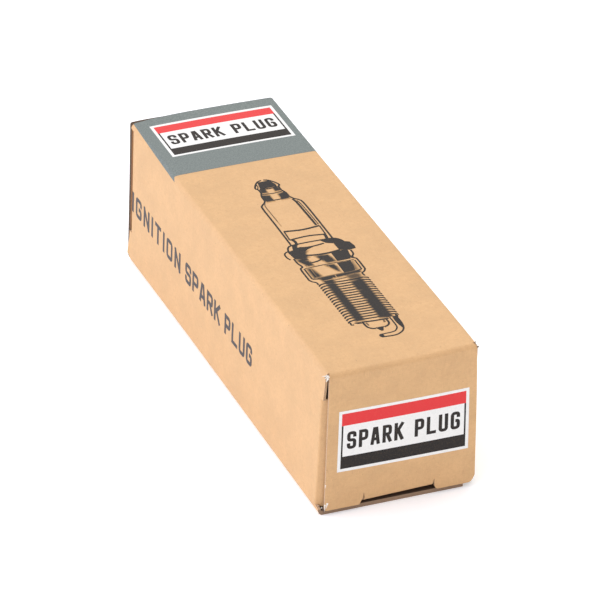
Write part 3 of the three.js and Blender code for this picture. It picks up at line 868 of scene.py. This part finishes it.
def ground_electrode():
    """A flat strap with soft edges, bent over the centre electrode's tip."""
    half_thick, half_wide, soft, turn = 0.6, 1.2, 0.22, 1.1
    aside, end = strap_high.x - half_thick, strap_high.y - PLUG_TIP - half_thick
    path = [((aside, SHELL_END - 0.02), (1, 0)), *arc((aside - turn, end - turn), turn, 0, 90)]
    path += [((0.4, end), (0, 1)), ((strap_low.x, end), (0, 1))]
    section = []
    for a, b, start in ((1, 1, 0), (-1, 1, 90), (-1, -1, 180), (1, -1, 270)):
        corner = (a * (half_thick - soft), b * (half_wide - soft))
        section += [place for place, _ in arc(corner, soft, start, start + 90, 4)]
    points, faces, count = [], [], len(section)
    for (x, station), (out_x, out_s) in path:
        for a, b in section:
            points.append((x + a * out_x, PLUG_TIP + station + a * out_s, PLUG_AXIS + b))
    for r in range(len(path) - 1):
        for c in range(count):
            here, there = r * count + c, r * count + (c + 1) % count
            faces.append((here, there, there + count, here + count))
    faces += [tuple(range(count)), tuple(range(len(points) - count, len(points)))]
    piece = make_piece("ground_electrode_smooth", points, faces, [NICKEL])
    outward_normals(piece)
    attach(piece, "plug")
    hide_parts("ground_electrode")


# ---------------------------------------------------------------- prints


def on_sleeve(u, y, lift):
    """A place on the carton's outside. u runs round it from the middle of the top panel, to the
    right where it is positive."""
    side, flat, turn = math.copysign(1, u), HALF_WIDTH - FOLD, FOLD * math.pi / 2
    past = abs(u) - flat
    if past <= 0:
        return as_folded((u, y, HEIGHT + lift))
    if past < turn:
        angle = past / FOLD
        reach = FOLD + lift
        x = flat + reach * math.sin(angle)
        return as_folded((side * x, y, HEIGHT - FOLD + reach * math.cos(angle)))
    return as_folded((side * (HALF_WIDTH + lift), y, HEIGHT - FOLD - (past - turn)))


def on_closure(x, z, lift):
    """A place on the front closure's outside."""
    return as_folded((x, -HALF_LENGTH - lift, z))


def on_rear_closure(x, z, lift):
    """A place on the rear closure's outside. x runs to the right for a viewer behind it."""
    return as_folded((-x, HALF_LENGTH + lift, z))


class Shape:
    """A flat printed shape: points, faces, an ink and a density, which may vary with place."""

    def __init__(self, points, ink, faces=None, density=1.0, inside_points=()):
        self.points = [tuple(p) for p in points]
        self.faces = faces or [list(range(len(self.points)))]
        self.ink = ink
        self.density = density if callable(density) else (lambda u, v: density)
        self.inside_points = list(inside_points)

    def moved(self, move):
        """A copy with its points moved. Its density still takes the places it took before."""
        shape = Shape([move(*p) for p in self.points], self.ink, self.faces)
        shape.inside_points = [move(*p) for p in self.inside_points]
        shape.density = self.density
        return shape


def grid_lines(low, high, spacing=3.0):
    """The whole multiples of spacing between low and high."""
    return [spacing * k for k in range(math.ceil(low / spacing), math.floor(high / spacing) + 1)]


def inside(loop, places):
    """Which of an array of places lie inside a closed loop of points."""
    found = np.zeros(len(places), bool)
    u, v = places[:, 0], places[:, 1]
    for (au, av), (bu, bv) in zip(loop, loop[1:] + loop[:1]):
        if av != bv:
            crossed = (av > v) != (bv > v)
            found ^= crossed & (u < (bu - au) * (v - av) / (bv - av) + au)
    return found


def print_film(name, shapes, place, body, crease_lines=()):
    """One closed film for a set of shapes. Where they overlap the later one's ink shows, at the
    greatest density of the shapes in that ink. crease_lines are extra cuts along a fold, so that
    the film turns with it."""
    points, edges = [], []

    def add_edge(first, second):
        edges.append((len(points), len(points) + 1))
        points.extend((Vector(first), Vector(second)))

    for shape in shapes:
        for face in shape.faces:
            loop = [shape.points[i] for i in face]
            for first, second in zip(loop, loop[1:] + loop[:1]):
                add_edge(first, second)
        points += [Vector(p) for p in shape.inside_points]
    us, vs = [p[0] for p in points], [p[1] for p in points]
    for u in [*grid_lines(min(us), max(us)), *crease_lines]:
        add_edge((u, min(vs) - 1), (u, max(vs) + 1))
    for v in grid_lines(min(vs), max(vs)):
        add_edge((min(us) - 1, v), (max(us) + 1, v))
    cut = delaunay_2d_cdt(points, edges, [], 0, 1e-5)
    flat, triangles = [tuple(p) for p in cut[0]], cut[2]
    middles = np.array([[sum(flat[i][k] for i in tri) / 3 for k in (0, 1)] for tri in triangles])
    layers = [[] for _ in triangles]
    for shape in shapes:
        covered = np.zeros(len(triangles), bool)
        for face in shape.faces:
            covered |= inside([shape.points[i] for i in face], middles)
        for index in np.flatnonzero(covered):
            layers[index].append(shape)
    kept = [(list(tri), over) for tri, over in zip(triangles, layers) if over]
    piece = film_mesh(name, flat, kept, place)
    outward_normals(piece)
    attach(piece, body)


def film_mesh(name, flat, kept, place):
    """The film's mesh, from triangles that each come with the shapes that cover them."""
    used = sorted({i for tri, _ in kept for i in tri})
    order = {old: new for new, old in enumerate(used)}
    upper = [place(*flat[i], FILM) for i in used]
    lower = [place(*flat[i], -FILM_SINK) for i in used]
    inks = sorted({over[-1].ink.name for _, over in kept})
    faces, kinds, values, edges = [], [], [], {}
    for tri, over in kept:
        ink = over[-1].ink.name
        dense = [max(s.density(*flat[i]) for s in over if s.ink.name == ink) for i in tri]
        faces.append([order[i] for i in tri])
        kinds.append(inks.index(ink))
        values += dense
        for k in (1, 2, 0):
            here, there = order[tri[k - 1]], order[tri[k]]
            edges[(here, there)] = (kinds[-1], dense[k - 1], dense[k])
    count = len(used)
    for tri, kind in list(zip(faces, kinds)):
        faces.append([i + count for i in reversed(tri)])
        kinds.append(kind)
        values += [1.0] * len(tri)
    for (a, b), (kind, first, second) in edges.items():
        if (b, a) not in edges:
            faces.append([b, a, a + count, b + count])
            kinds.append(kind)
            values += [second, first, first, second]
    materials = [bpy.data.materials[ink] for ink in inks]
    return make_piece(name, upper + lower, faces, materials, kinds, values)


def rectangle(half_width, low, high, ink):
    """A rectangle about the upright middle line."""
    left, right = -half_width, half_width
    return Shape([(left, low), (right, low), (right, high), (left, high)], ink)


# The strokes of each letter, in shares of its width and height.
GLYPHS = {
    "A": [[(0, 0), (0.34, 1), (0.66, 1), (1, 0)], [(0.12, 0.28), (0.88, 0.28)]],
    "G": [[(1, 0.7), (1, 1), (0, 1), (0, 0), (1, 0), (1, 0.48), (0.5, 0.48)]],
    "I": [[(0, 0), (0, 1)]],
    "K": [[(0, 0), (0, 1)], [(1, 1), (0.05, 0.4)], [(0.35, 0.6), (1, 0)]],
    "L": [[(0, 1), (0, 0), (1, 0)]],
    "N": [[(0, 0), (0, 1)], [(0, 1), (1, 0)], [(1, 0), (1, 1)]],
    "O": [[(0.5, 1), (0, 1), (0, 0), (1, 0), (1, 1), (0.5, 1)]],
    "P": [[(0, 0), (0, 1)], [(0, 1), (1, 1), (1, 0.45), (0, 0.45)]],
    "R": [[(0, 0), (0, 1)], [(0, 1), (1, 1), (1, 0.47), (0, 0.47)], [(0.5, 0.47), (1, 0)]],
    "S": [[(1, 0.7), (1, 1), (0, 1), (0, 0.51), (1, 0.51), (1, 0), (0, 0), (0, 0.3)]],
    "T": [[(0.5, 0), (0.5, 1)], [(0, 1), (1, 1)]],
    "U": [[(0, 1), (0, 0), (1, 0), (1, 1)]],
}
SHARP_JOINS = "AKLNT"  # letters with no round corners


def rounded_path(points, radius):
    """The path with an arc of about this radius at each inner corner."""
    points = [Vector(p) for p in points]
    found = [points[0]]
    for before, here, after in zip(points, points[1:], points[2:]):
        start = here + (before - here).normalized() * min(radius, (before - here).length / 2)
        end = here + (after - here).normalized() * min(radius, (after - here).length / 2)
        for t in spread(0, 1, 5):
            found.append(start.lerp(here, t).lerp(here.lerp(end, t), t))
    return found + [points[-1]]


def lettering(text, ink, width, height, weight=0.21, gap=0.17, widest=0.72):
    """Plain block capitals about the origin. weight is a stroke's width, gap the space between
    letters and widest a letter's greatest width, all as shares of the height."""
    line = weight * height
    fixed = {" ": 0.3 * height, "I": line}
    free = [letter for letter in text if letter not in fixed]
    used = sum(fixed.get(letter, 0) for letter in text) + gap * height * (len(text) - 1)
    wide = min(widest * height, (width - used) / len(free))
    widths = [fixed.get(letter, wide) for letter in text]
    space = (width - sum(widths)) / (len(text) - 1)
    shapes, start = [], -width / 2
    for letter, wide in zip(text, widths):
        for path in GLYPHS.get(letter, []):
            places = [
                (start + line / 2 + u * (wide - line), (v - 0.5) * (height - line)) for u, v in path
            ]
            if letter not in SHARP_JOINS:
                places = rounded_path(places, 0.75 * line)
            shapes.append(stroke(lengthened(places, path, line / 2), line, ink))
        start += wide + space
    return shapes


def lengthened(places, path, extra):
    """The path with its ends drawn out where they stand on the letter's head or foot line."""
    places = [Vector(p) for p in places]
    for end, inward in ((0, 1), (-1, -2)):
        if path[end][1] in (0, 1) and path[end] != path[-1 - end]:
            away = (places[end] - places[inward]).normalized()
            places[end] = places[end] + away * extra
    return places


def stroke(points, width, ink, density=1.0):
    """A line of even width along points, with square ends."""
    points = [Vector(p) for p in points]
    left, right = [], []
    for i, p in enumerate(points):
        before = (p - points[i - 1]).normalized() if i else None
        after = (points[i + 1] - p).normalized() if i + 1 < len(points) else None
        along = ((before or after) + (after or before)).normalized()
        across = Vector((-along.y, along.x))
        stretch = 1 / max(0.5, across.dot(Vector((-(after or before).y, (after or before).x))))
        left.append(p + across * width / 2 * stretch)
        right.append(p - across * width / 2 * stretch)
    count = len(points)
    outline = left + right
    faces = [[i, i + count, i + 1 + count, i + 1] for i in range(count - 1)]
    return Shape(outline, ink, faces, density)


def smooth(points, steps=5):
    """A curve through points (Catmull-Rom)."""
    points = [Vector(p) for p in points]
    ends = [points[0] * 2 - points[1], *points, points[-1] * 2 - points[-2]]
    found = []
    for a, b, c, d in zip(ends, ends[1:], ends[2:], ends[3:]):
        for i in range(steps):
            t = i / steps
            bow, twist = 2 * a - 5 * b + 4 * c - d, 3 * b - a - 3 * c + d
            found.append(0.5 * (2 * b + (c - a) * t + bow * t**2 + twist * t**3))
    return [tuple(p) for p in found] + [tuple(points[-1])]


# ---------------------------------------------------------------- prints: plates and lettering


def plate(width, height):
    """A generic label plate about the origin: a white panel in a thin dark frame, with a red bar
    over and a dark bar under the words."""
    rim, line, bar = 0.5, 0.28, 0.2 * height
    half_w, half_h = width / 2, height / 2
    frame_w, frame_h = half_w - rim, half_h - rim
    panel_w, panel_h = frame_w - line, frame_h - line
    word_width, word_height = width - 2.9, 0.29 * height
    words = lettering("SPARK PLUG", BLACK_INK, word_width, word_height, weight=0.175, gap=0.13)
    return [
        rectangle(half_w, -half_h, half_h, WHITE_INK),
        rectangle(frame_w, -frame_h, frame_h, BLACK_INK),
        rectangle(panel_w, -panel_h, panel_h, WHITE_INK),
        rectangle(frame_w, frame_h - bar, frame_h, RED_INK),
        rectangle(frame_w, -frame_h, bar - frame_h, BLACK_INK),
        *words,
    ]


def front_prints():
    """The plate on the front closure, and its twin on the rear one."""
    left, right, top, bottom, tilt = 2.3, 23.85, 7.25, 18.35, 0.014
    width, height = right - left, bottom - top
    middle = ((left + right) / 2 - HALF_WIDTH, HEIGHT - (top + bottom) / 2)
    shapes = [
        shape.moved(lambda u, v: (u + middle[0], v + middle[1] - tilt * u))
        for shape in plate(width, height)
    ]
    for prefix, place in (("front", on_closure), ("rear", on_rear_closure)):
        print_film(f"{prefix}_closure_print", shapes, place, f"{prefix}_closure")


def band_and_plate():
    """The grey band at the far end of the top panel, wrapped over its side edges, and its plate."""
    far, near = RAW_END, HALF_LENGTH - 19.3
    flat = HALF_WIDTH - FOLD
    over = flat + 1.0
    band = [(-flat - 0.95, near - 1.1), (-flat - 0.4, near - 0.1), (1 - flat, near), (over, near)]
    band = Shape([*band, (over, far), (-flat - 0.4, far)], GREY_INK)
    creases = [side * (flat + 0.15 * k) for side in (-1, 1) for k in range(9)]
    left, right, top, bottom = 2.45, 23.9, 2.7, 13.4
    width, height = right - left, bottom - top
    middle = ((left + right) / 2 - HALF_WIDTH, HALF_LENGTH - (top + bottom) / 2)
    shapes = [band]
    shapes += [s.moved(lambda u, v: (u + middle[0], v + middle[1])) for s in plate(width, height)]
    print_film("top_band_print", shapes, on_sleeve, "carton", creases)


def side_prints():
    """Generic words along both side panels, read from the far end on the left one."""
    top, bottom = 11.9, 15.6
    words = [("IGNITION", 1.9, 24.1), ("SPARK", 26.3, 41.8), ("PLUG", 43.8, 55.6)]
    down = HALF_WIDTH - FOLD + FOLD * math.pi / 2 + (top + bottom) / 2 - FOLD
    for name, side in (("left", -1), ("right", 1)):
        shapes = []
        for text, start, end in words:
            along = side * ((start + end) / 2 - HALF_LENGTH)
            for part in lettering(text, SIDE_INK, end - start, bottom - top, weight=0.185):
                shapes.append(part.moved(lambda u, v: (side * (down - v), along + side * u)))
        print_film(f"{name}_words_print", shapes, on_sleeve, "carton")


# ---------------------------------------------------------------- prints: the plug drawing

DRAWING_CENTRE = 13.2 - HALF_WIDTH


def drawn(shape):
    """Moves a shape from the drawing's own place (distance from its centreline, distance from the
    carton's far end) on to the top panel."""
    moved = shape.moved(lambda d, v: (d + DRAWING_CENTRE, HALF_LENGTH - v))
    moved.density = lambda u, y: shape.density(u - DRAWING_CENTRE, HALF_LENGTH - y)
    return moved


def shade(left, right, top, bottom, soft):
    """An airbrushed patch between two sides, dense in the middle and soft at its sides."""

    def strength(d, v):
        return clamped(1.5 * min(d - left, right - d) / soft)

    places = [
        (d, v)
        for d in stations(left, right, 0.3)[1:-1]
        for v in stations(top, bottom, 0.4)[1:-1]
    ]
    points = [(left, top), (right, top), (right, bottom), (left, bottom)]
    return Shape(points, BLACK_INK, density=strength, inside_points=places)


def soft_patch(*points, soft=0.5, density=1.0):
    """An airbrushed patch of any outline, dense in the middle and soft all round its edge."""
    corners = [Vector(p) for p in points]

    def strength(d, v):
        place = Vector((d, v))
        edge = soft
        for first, second in zip(corners, corners[1:] + corners[:1]):
            share = intersect_point_line(place, first, second)[1]
            edge = min(edge, (place - first.lerp(second, clamped(share))).length)
        return density * clamped(1.5 * edge / soft)

    us, vs = [p[0] for p in points], [p[1] for p in points]
    places = [(d, v) for d in stations(min(us), max(us), 0.25) for v in stations(min(vs), max(vs), 0.25)]
    within = inside(list(points), np.array(places))
    kept = [place for place, found in zip(places, within) if found]
    return Shape(points, BLACK_INK, density=strength, inside_points=kept)


def ink_line(*points, width=0.27, density=1.0, curved=True):
    """A drawn line. Ink spreads in the board, so it is a little wider than drawn."""
    return stroke(smooth(points) if curved else points, width * 1.12, BLACK_INK, density)


def patch(*points, curved=False):
    """A solid patch of ink."""
    return Shape(smooth([*points, points[0]])[:-1] if curved else points, BLACK_INK)


def drawn_terminal():
    """The domed terminal nut, its groove and its collar."""
    dome = [(-0.2, 25.6), (-0.9, 25.9), (-1.6, 26.75), (-2.05, 27.8), (-1.75, 28.4), (-1.7, 29.55)]
    side = [(-1.7, 29.55), (-1.95, 30.2), (-2.1, 30.95), (-2.1, 32.1)]
    yield patch((-1.0, 26.1), (1.0, 26.0), (1.55, 27.5), (1.5, 28.2), (-1.35, 28.3), (-1.25, 27.5))
    for flip in (1, -1):
        yield shade(*sorted((flip * 0.48, flip * 1.65)), 28.45, 29.9, soft=0.15)
        yield shade(*sorted((flip * 0.5, flip * 2.1)), 30.3, 32.8, soft=0.2)
        yield ink_line(*[(flip * d, v) for d, v in dome])
        yield ink_line(*[(flip * d, v) for d, v in side])
    yield ink_line((-1.5, 26.5), (-1.45, 27.4), (-1.75, 28.1), width=0.16)
    yield ink_line((-1.5, 28.35), (0.1, 28.55), (1.6, 28.35), width=0.3)
    yield ink_line((-1.75, 30.0), (0.1, 30.2), (1.75, 30.0), width=0.2)
    yield ink_line((-2.0, 32.0), (-0.9, 32.3), (0.1, 32.35), (1.1, 32.3), (2.2, 32.0), width=0.24)


def drawn_insulator():
    """The insulator's outlines and reflections, and the empty band round it."""
    left = [(-2.1, 32.1), (-2.45, 32.7), (-3.1, 33.4), (-3.38, 34.4), (-3.42, 40.0), (-3.53, 46.7)]
    right = [(2.2, 32.1), (2.5, 32.8), (3.15, 33.5), (3.5, 34.7), (3.54, 40.0), (3.48, 46.9)]
    yield ink_line(*left)
    yield ink_line(*right)
    yield ink_line((-2.4, 32.8), (-2.7, 33.8), (-2.72, 36.3), (-2.7, 38.9), width=0.17, density=0.75)
    yield ink_line((-2.7, 38.9), (-2.69, 40.6), width=0.13, density=0.4)
    yield ink_line((2.3, 33.0), (2.52, 34.3), (2.6, 38.2), (2.66, 42.1), width=0.34)
    yield ink_line((2.75, 33.7), (2.95, 34.9), (3.04, 38.4), (3.08, 42.0), width=0.15, density=0.95)
    yield ink_line((-2.95, 42.35), (0, 42.75), (3.05, 42.45), width=0.38)
    yield ink_line((-3.1, 45.15), (0, 44.9), (2.95, 45.3), width=0.32)
    yield ink_line((-2.93, 42.3), (-3.1, 45.2), width=0.22, curved=False)
    yield ink_line((3.05, 42.4), (2.95, 45.35), width=0.22, curved=False)
    yield ink_line((-2.75, 45.2), (-2.5, 45.9), (-2.6, 47.0), width=0.42)
    yield ink_line((2.75, 45.3), (2.75, 45.9), (2.6, 47.0), width=0.45)


def drawn_crimp():
    """The shell's rolled edge."""
    yield ink_line(
        (-4.65, 48.4), (-4.35, 47.5), (-3.6, 46.9), (-1.0, 46.75), (2.2, 46.8),
        (3.6, 46.95), (4.4, 47.6), (4.75, 48.4), width=0.28,
    )
    yield patch((-3.5, 47.0), (-2.5, 47.0), (-2.9, 47.7), (-2.0, 48.2), (-2.7, 48.7), (-3.9, 48.5))
    yield patch((1.4, 46.95), (3.6, 47.0), (4.5, 47.9), (4.6, 48.5), (2.9, 48.4), (1.9, 47.9))
    yield ink_line((-2.6, 47.9), (-1.4, 48.2), (0.2, 48.15), (1.6, 47.9), width=0.3)


def drawn_hexagon():
    """The hexagon, light in the middle and dark at both sides."""
    yield ink_line((-4.5, 48.4), (-5.15, 48.6), (-5.6, 49.2), (-5.62, 50.2), (-5.35, 51.0), width=0.24)
    yield patch(
        (-4.9, 48.6), (-3.4, 48.2), (-0.2, 48.3), (-1.6, 48.9), (-2.5, 49.7), (-2.5, 50.7), (-3.2, 51.3),
        (-4.6, 51.1),
    )
    yield soft_patch(
        (-4.7, 49.8), (-2.0, 49.8), (-2.5, 51.2), (-2.5, 52.2), (-3.3, 53.3), (-4.1, 53.0), (-4.6, 51.9),
        soft=0.4,
    )
    yield patch((3.0, 48.5), (4.5, 48.2), (5.6, 48.8), (5.85, 50.2), (5.75, 51.0), (4.6, 51.2), (3.1, 50.7))
    yield soft_patch((-4.0, 49.0), (-1.2, 49.0), (-2.2, 50.3), (-2.0, 51.4), (-3.5, 51.6), soft=0.6)
    yield ink_line((-2.6, 50.5), (-1.0, 50.9), (1.2, 51.0), (3.1, 50.7), width=0.4)


def drawn_body():
    """The groove, the barrel and the taper seat between hexagon and thread."""
    left = [(-4.75, 50.9), (-4.72, 52.4), (-4.5, 53.2), (-4.45, 53.8), (-4.95, 54.4), (-5.0, 57.9)]
    right = [(4.75, 51.3), (4.7, 52.5), (4.25, 53.2), (4.3, 53.8), (4.62, 54.3), (4.62, 57.5)]
    yield soft_patch(
        (-1.6, 51.0), (0.9, 51.0), (1.3, 52.6), (1.5, 54.0), (-0.3, 54.1), (-0.9, 53.0), soft=0.5
    )
    yield soft_patch((-4.2, 52.0), (-2.4, 52.3), (-2.3, 54.1), (-3.9, 54.0), soft=0.45)
    yield ink_line((-3.2, 53.0), (-1.5, 52.85), (-0.4, 52.3), width=0.3)
    yield patch((1.5, 50.9), (4.3, 50.9), (4.15, 52.2), (3.75, 53.8), (1.45, 53.9))
    yield soft_patch((-4.3, 54.3), (-3.0, 54.3), (-2.2, 57.9), (-4.3, 57.9), soft=0.75)
    yield soft_patch((-1.3, 54.2), (0.7, 54.3), (1.0, 55.4), (0.9, 57.4), (0.2, 57.0), (-0.5, 55.5))
    yield patch((1.15, 54.45), (3.45, 54.4), (3.3, 56.0), (2.95, 57.5), (1.1, 57.6))
    yield soft_patch((2.2, 54.3), (4.1, 54.3), (3.9, 57.8), (2.2, 57.8), soft=1.1, density=0.85)
    yield soft_patch((-3.9, 57.5), (4.0, 57.3), (3.8, 58.5), (-3.2, 58.9), soft=0.45)
    yield soft_patch((-3.5, 58.2), (-1.2, 58.0), (-1.0, 59.9), (-3.1, 60.2), soft=0.6)
    yield soft_patch((0.6, 58.2), (3.6, 57.9), (3.4, 60.2), (0.9, 60.2), soft=0.9, density=0.9)
    yield ink_line((-2.8, 59.3), (0, 59.1), (3.2, 59.0), width=0.26, density=0.7)
    yield ink_line(*left)
    yield ink_line(*right)
    yield ink_line((-5.0, 57.9), (-4.7, 58.5), (-4.2, 59.0), (-4.15, 59.7), width=0.26)
    yield ink_line((4.62, 57.5), (4.2, 58.2), (3.7, 58.6), (3.75, 59.5), width=0.26)
    yield ink_line((4.2, 51.3), (4.0, 52.6), (4.0, 53.8), width=0.18)
    yield ink_line((-4.3, 54.35), (-1.0, 54.2), (1.2, 54.25), (4.1, 54.3), width=0.18)
    yield ink_line((-4.4, 54.4), (-4.4, 57.7), width=0.24, curved=False)
    yield ink_line((4.12, 54.5), (4.08, 57.4), width=0.22, curved=False)
    yield ink_line((-4.4, 57.75), (-3.0, 58.2), width=0.26, curved=False)
    yield ink_line((4.08, 57.4), (2.6, 58.0), width=0.24, curved=False)


def drawn_thread():
    """The thread's turns over two long shades, and its last turn."""
    top, pitch, count = 59.75, 0.745, 17
    end = top + count * pitch
    yield shade(-3.2, -1.2, top, end - 0.1, soft=0.6)
    yield shade(0.7, 3.3, top, end + 0.1, soft=0.6)
    for i in range(count):
        v = top + i * pitch
        line = [(-4.15, v + 0.3), (-3.7, v + 0.02), (-2.9, v - 0.05), (-1.2, v + 0.1), (1.2, v + 0.22)]
        line += [(3.1, v + 0.12), (4.0, v + 0.42)]
        yield ink_line(*line, width=0.29)
        yield ink_line((-4.14, v + 0.25), (-4.2, v + 0.55), width=0.22, curved=False)
        yield ink_line((3.97, v + 0.36), (4.02, v + 0.72), width=0.22, curved=False)
    yield ink_line((-3.9, end - 0.3), (-4.0, end + 0.35), (-3.6, end + 0.45), width=0.24)
    yield patch((-3.5, end - 0.1), (-2.3, end), (-2.2, end + 0.5), (-3.0, end + 0.4))
    yield ink_line((-2.2, end + 0.1), (0, end + 0.35), (2.2, end + 0.4), width=0.32)
    yield ink_line((3.6, end - 0.3), (3.75, end + 0.3), (3.3, end + 0.6), width=0.22)


def drawn_nose():
    """The insulator's tip, the centre electrode and the bent strap."""
    left = [(-2.05, 72.7), (-1.95, 74.0), (-1.5, 74.7), (-0.8, 75.0)]
    right = [(1.75, 72.8), (1.75, 74.0), (1.35, 74.65), (0.6, 75.0)]
    yield ink_line(*left, width=0.3)
    yield ink_line(*right, width=0.3)
    yield ink_line((-1.6, 72.9), (-1.5, 73.8), width=0.24, density=0.8, curved=False)
    yield ink_line((1.3, 72.9), (1.2, 73.7), width=0.3, density=0.8, curved=False)
    yield patch((-0.9, 74.75), (0.6, 74.75), (0.35, 75.25), (0.1, 75.9), (-0.25, 75.9), (-0.6, 75.2))
    inner = [(2.45, 72.6), (2.47, 75.2), (2.1, 76.2), (1.3, 76.75), (-0.9, 76.85)]
    outer = [(3.55, 72.4), (3.55, 74.8), (3.2, 76.4), (2.4, 77.3), (1.2, 77.75), (-0.9, 77.6)]
    yield ink_line(*inner, width=0.22)
    yield ink_line(*outer, width=0.26)
    yield patch((2.9, 72.5), (3.5, 72.5), (3.5, 75.2), (3.15, 76.2), (2.95, 75.2), (2.8, 74.0))
    tip = [(-1.0, 76.8), (-0.5, 76.75), (-0.4, 77.3), (-0.5, 77.7), (-0.95, 77.6), (-1.15, 77.2)]
    yield patch(*tip, curved=True)


def plug_drawing():
    """The plug drawn on the top panel, from its terminal to its strap."""
    parts = (drawn_terminal, drawn_insulator, drawn_crimp, drawn_hexagon, drawn_body)
    shapes = [drawn(shape) for part in (*parts, drawn_thread, drawn_nose) for shape in part()]
    print_film("plug_drawing_print", shapes, on_sleeve, "carton")


# ---------------------------------------------------------------- stage


def stage():
    """A pale floor under the foot, which glows a little so that the shadow stays soft."""
    bpy.context.scene.view_settings.view_transform = "Standard"
    mesh = bpy.data.meshes.new("floor")
    reach = 6.0  # metres each way
    corners = [(-reach, -reach), (reach, -reach), (reach, reach), (-reach, reach)]
    mesh.from_pydata([(x, y, -SINK * MM) for x, y in corners], [], [(0, 1, 2, 3)])
    material, tree, shader = new_material("pale_floor")
    values = {"Base Color": (0.915, 0.935, 0.94, 1), "Roughness": 0.9, "Specular IOR Level": 0.1}
    values.update({"Emission Color": (1, 1, 1, 1), "Emission Strength": 0.2})
    fill(tree, shader, values)
    mesh.materials.append(material)
    floor = bpy.data.objects.new("floor", mesh)
    bpy.context.scene.collection.objects.link(floor)


SKY_DIM, SKY_BRIGHT = 0.29, 1.9


def sky():
    """Soft light from all round, brighter from the left, the back and above."""
    world = bpy.data.worlds.new("studio")
    bpy.context.scene.world = world
    world.use_nodes = True
    tree = world.node_tree
    direction = add_node(tree, "ShaderNodeTexCoord").outputs["Generated"]
    brightest = Vector((-0.6, 0.62, 0.5)).normalized()
    towards = add_node(
        tree, "ShaderNodeVectorMath", {0: direction, 1: brightest}, operation="DOT_PRODUCT"
    )
    level = remap(tree, towards.outputs["Value"], -1, 1, SKY_DIM, SKY_BRIGHT, kind="LINEAR")
    place = add_node(tree, "ShaderNodeSeparateXYZ", {0: direction})
    left = remap(tree, place.outputs["X"], 0.1, -0.9)
    colour = mix(tree, left, (1, 0.985, 0.95), (0.99, 1.0, 1.2))
    front = remap(tree, place.outputs["Y"], 0.1, -0.9)
    colour = mix(tree, front, colour, (0.99, 0.93, 0.99))
    fill(tree, tree.nodes["Background"], {"Color": colour, "Strength": level})


def camera():
    """A long lens, from in front of the left corner and above."""
    azimuth, elevation, roll = (math.radians(a) for a in (-22.965, 30.51, 1.441))
    distance, aside, above = 910.0, -0.501, 0.371
    level = Vector((math.cos(azimuth), math.sin(azimuth), 0))
    outwards = Vector((math.sin(azimuth), -math.cos(azimuth), 0))
    back = outwards * math.cos(elevation) + Vector((0, 0, math.sin(elevation)))
    upright = back.cross(level)
    right = level * math.cos(roll) + upright * math.sin(roll)
    up = upright * math.cos(roll) - level * math.sin(roll)
    place = Vector((0, 0, HEIGHT / 2 + STAND)) + back * distance - right * aside - up * above
    data = bpy.data.cameras.new("camera")
    data.sensor_width = 36
    data.lens = 339.88
    data.clip_start = 0.05
    data.clip_end = 50
    obj = bpy.data.objects.new("camera", data)
    turn = Matrix((right, up, back)).transposed().to_4x4()
    obj.matrix_world = Matrix.Translation(place * MM) @ turn
    bpy.context.scene.collection.objects.link(obj)
    bpy.context.scene.camera = obj


# ---------------------------------------------------------------- build

camera()
stage()
sky()
carton_body()
for end in ("front", "rear"):
    closure_piece(end)
    tuck_piece(end)
    for side in (-1, 1):
        dust_piece(end, side)
worn_and_shaded_corners()
metal_shell()
terminal_nut()
terminal_stud()
insulator()
centre_electrode()
ground_electrode()
band_and_plate()
plug_drawing()
side_prints()
front_prints()

NODE_FINISH = {
    "seam_glue": GLUE,
    "terminal_nut": PLATED_STEEL,
    "terminal_stud": BARE_STEEL,
    "insulator": CERAMIC,
    "metal_shell": PLATED_STEEL,
    "ground_electrode": NICKEL,
    "centre_electrode": NICKEL,
    "copper_core": COPPER,
    "upper_glass_seal": GLASS_SEAL,
    "resistor": RESISTOR,
    "lower_glass_seal": GLASS_SEAL,
    "upper_packing_ring": BARE_STEEL,
    "talc_ring": TALC,
    "lower_packing_ring": BARE_STEEL,
    "seat_washer": BARE_STEEL,
}
for node, finish in NODE_FINISH.items():
    for material_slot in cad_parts[node].material_slots:
        material_slot.material = finish
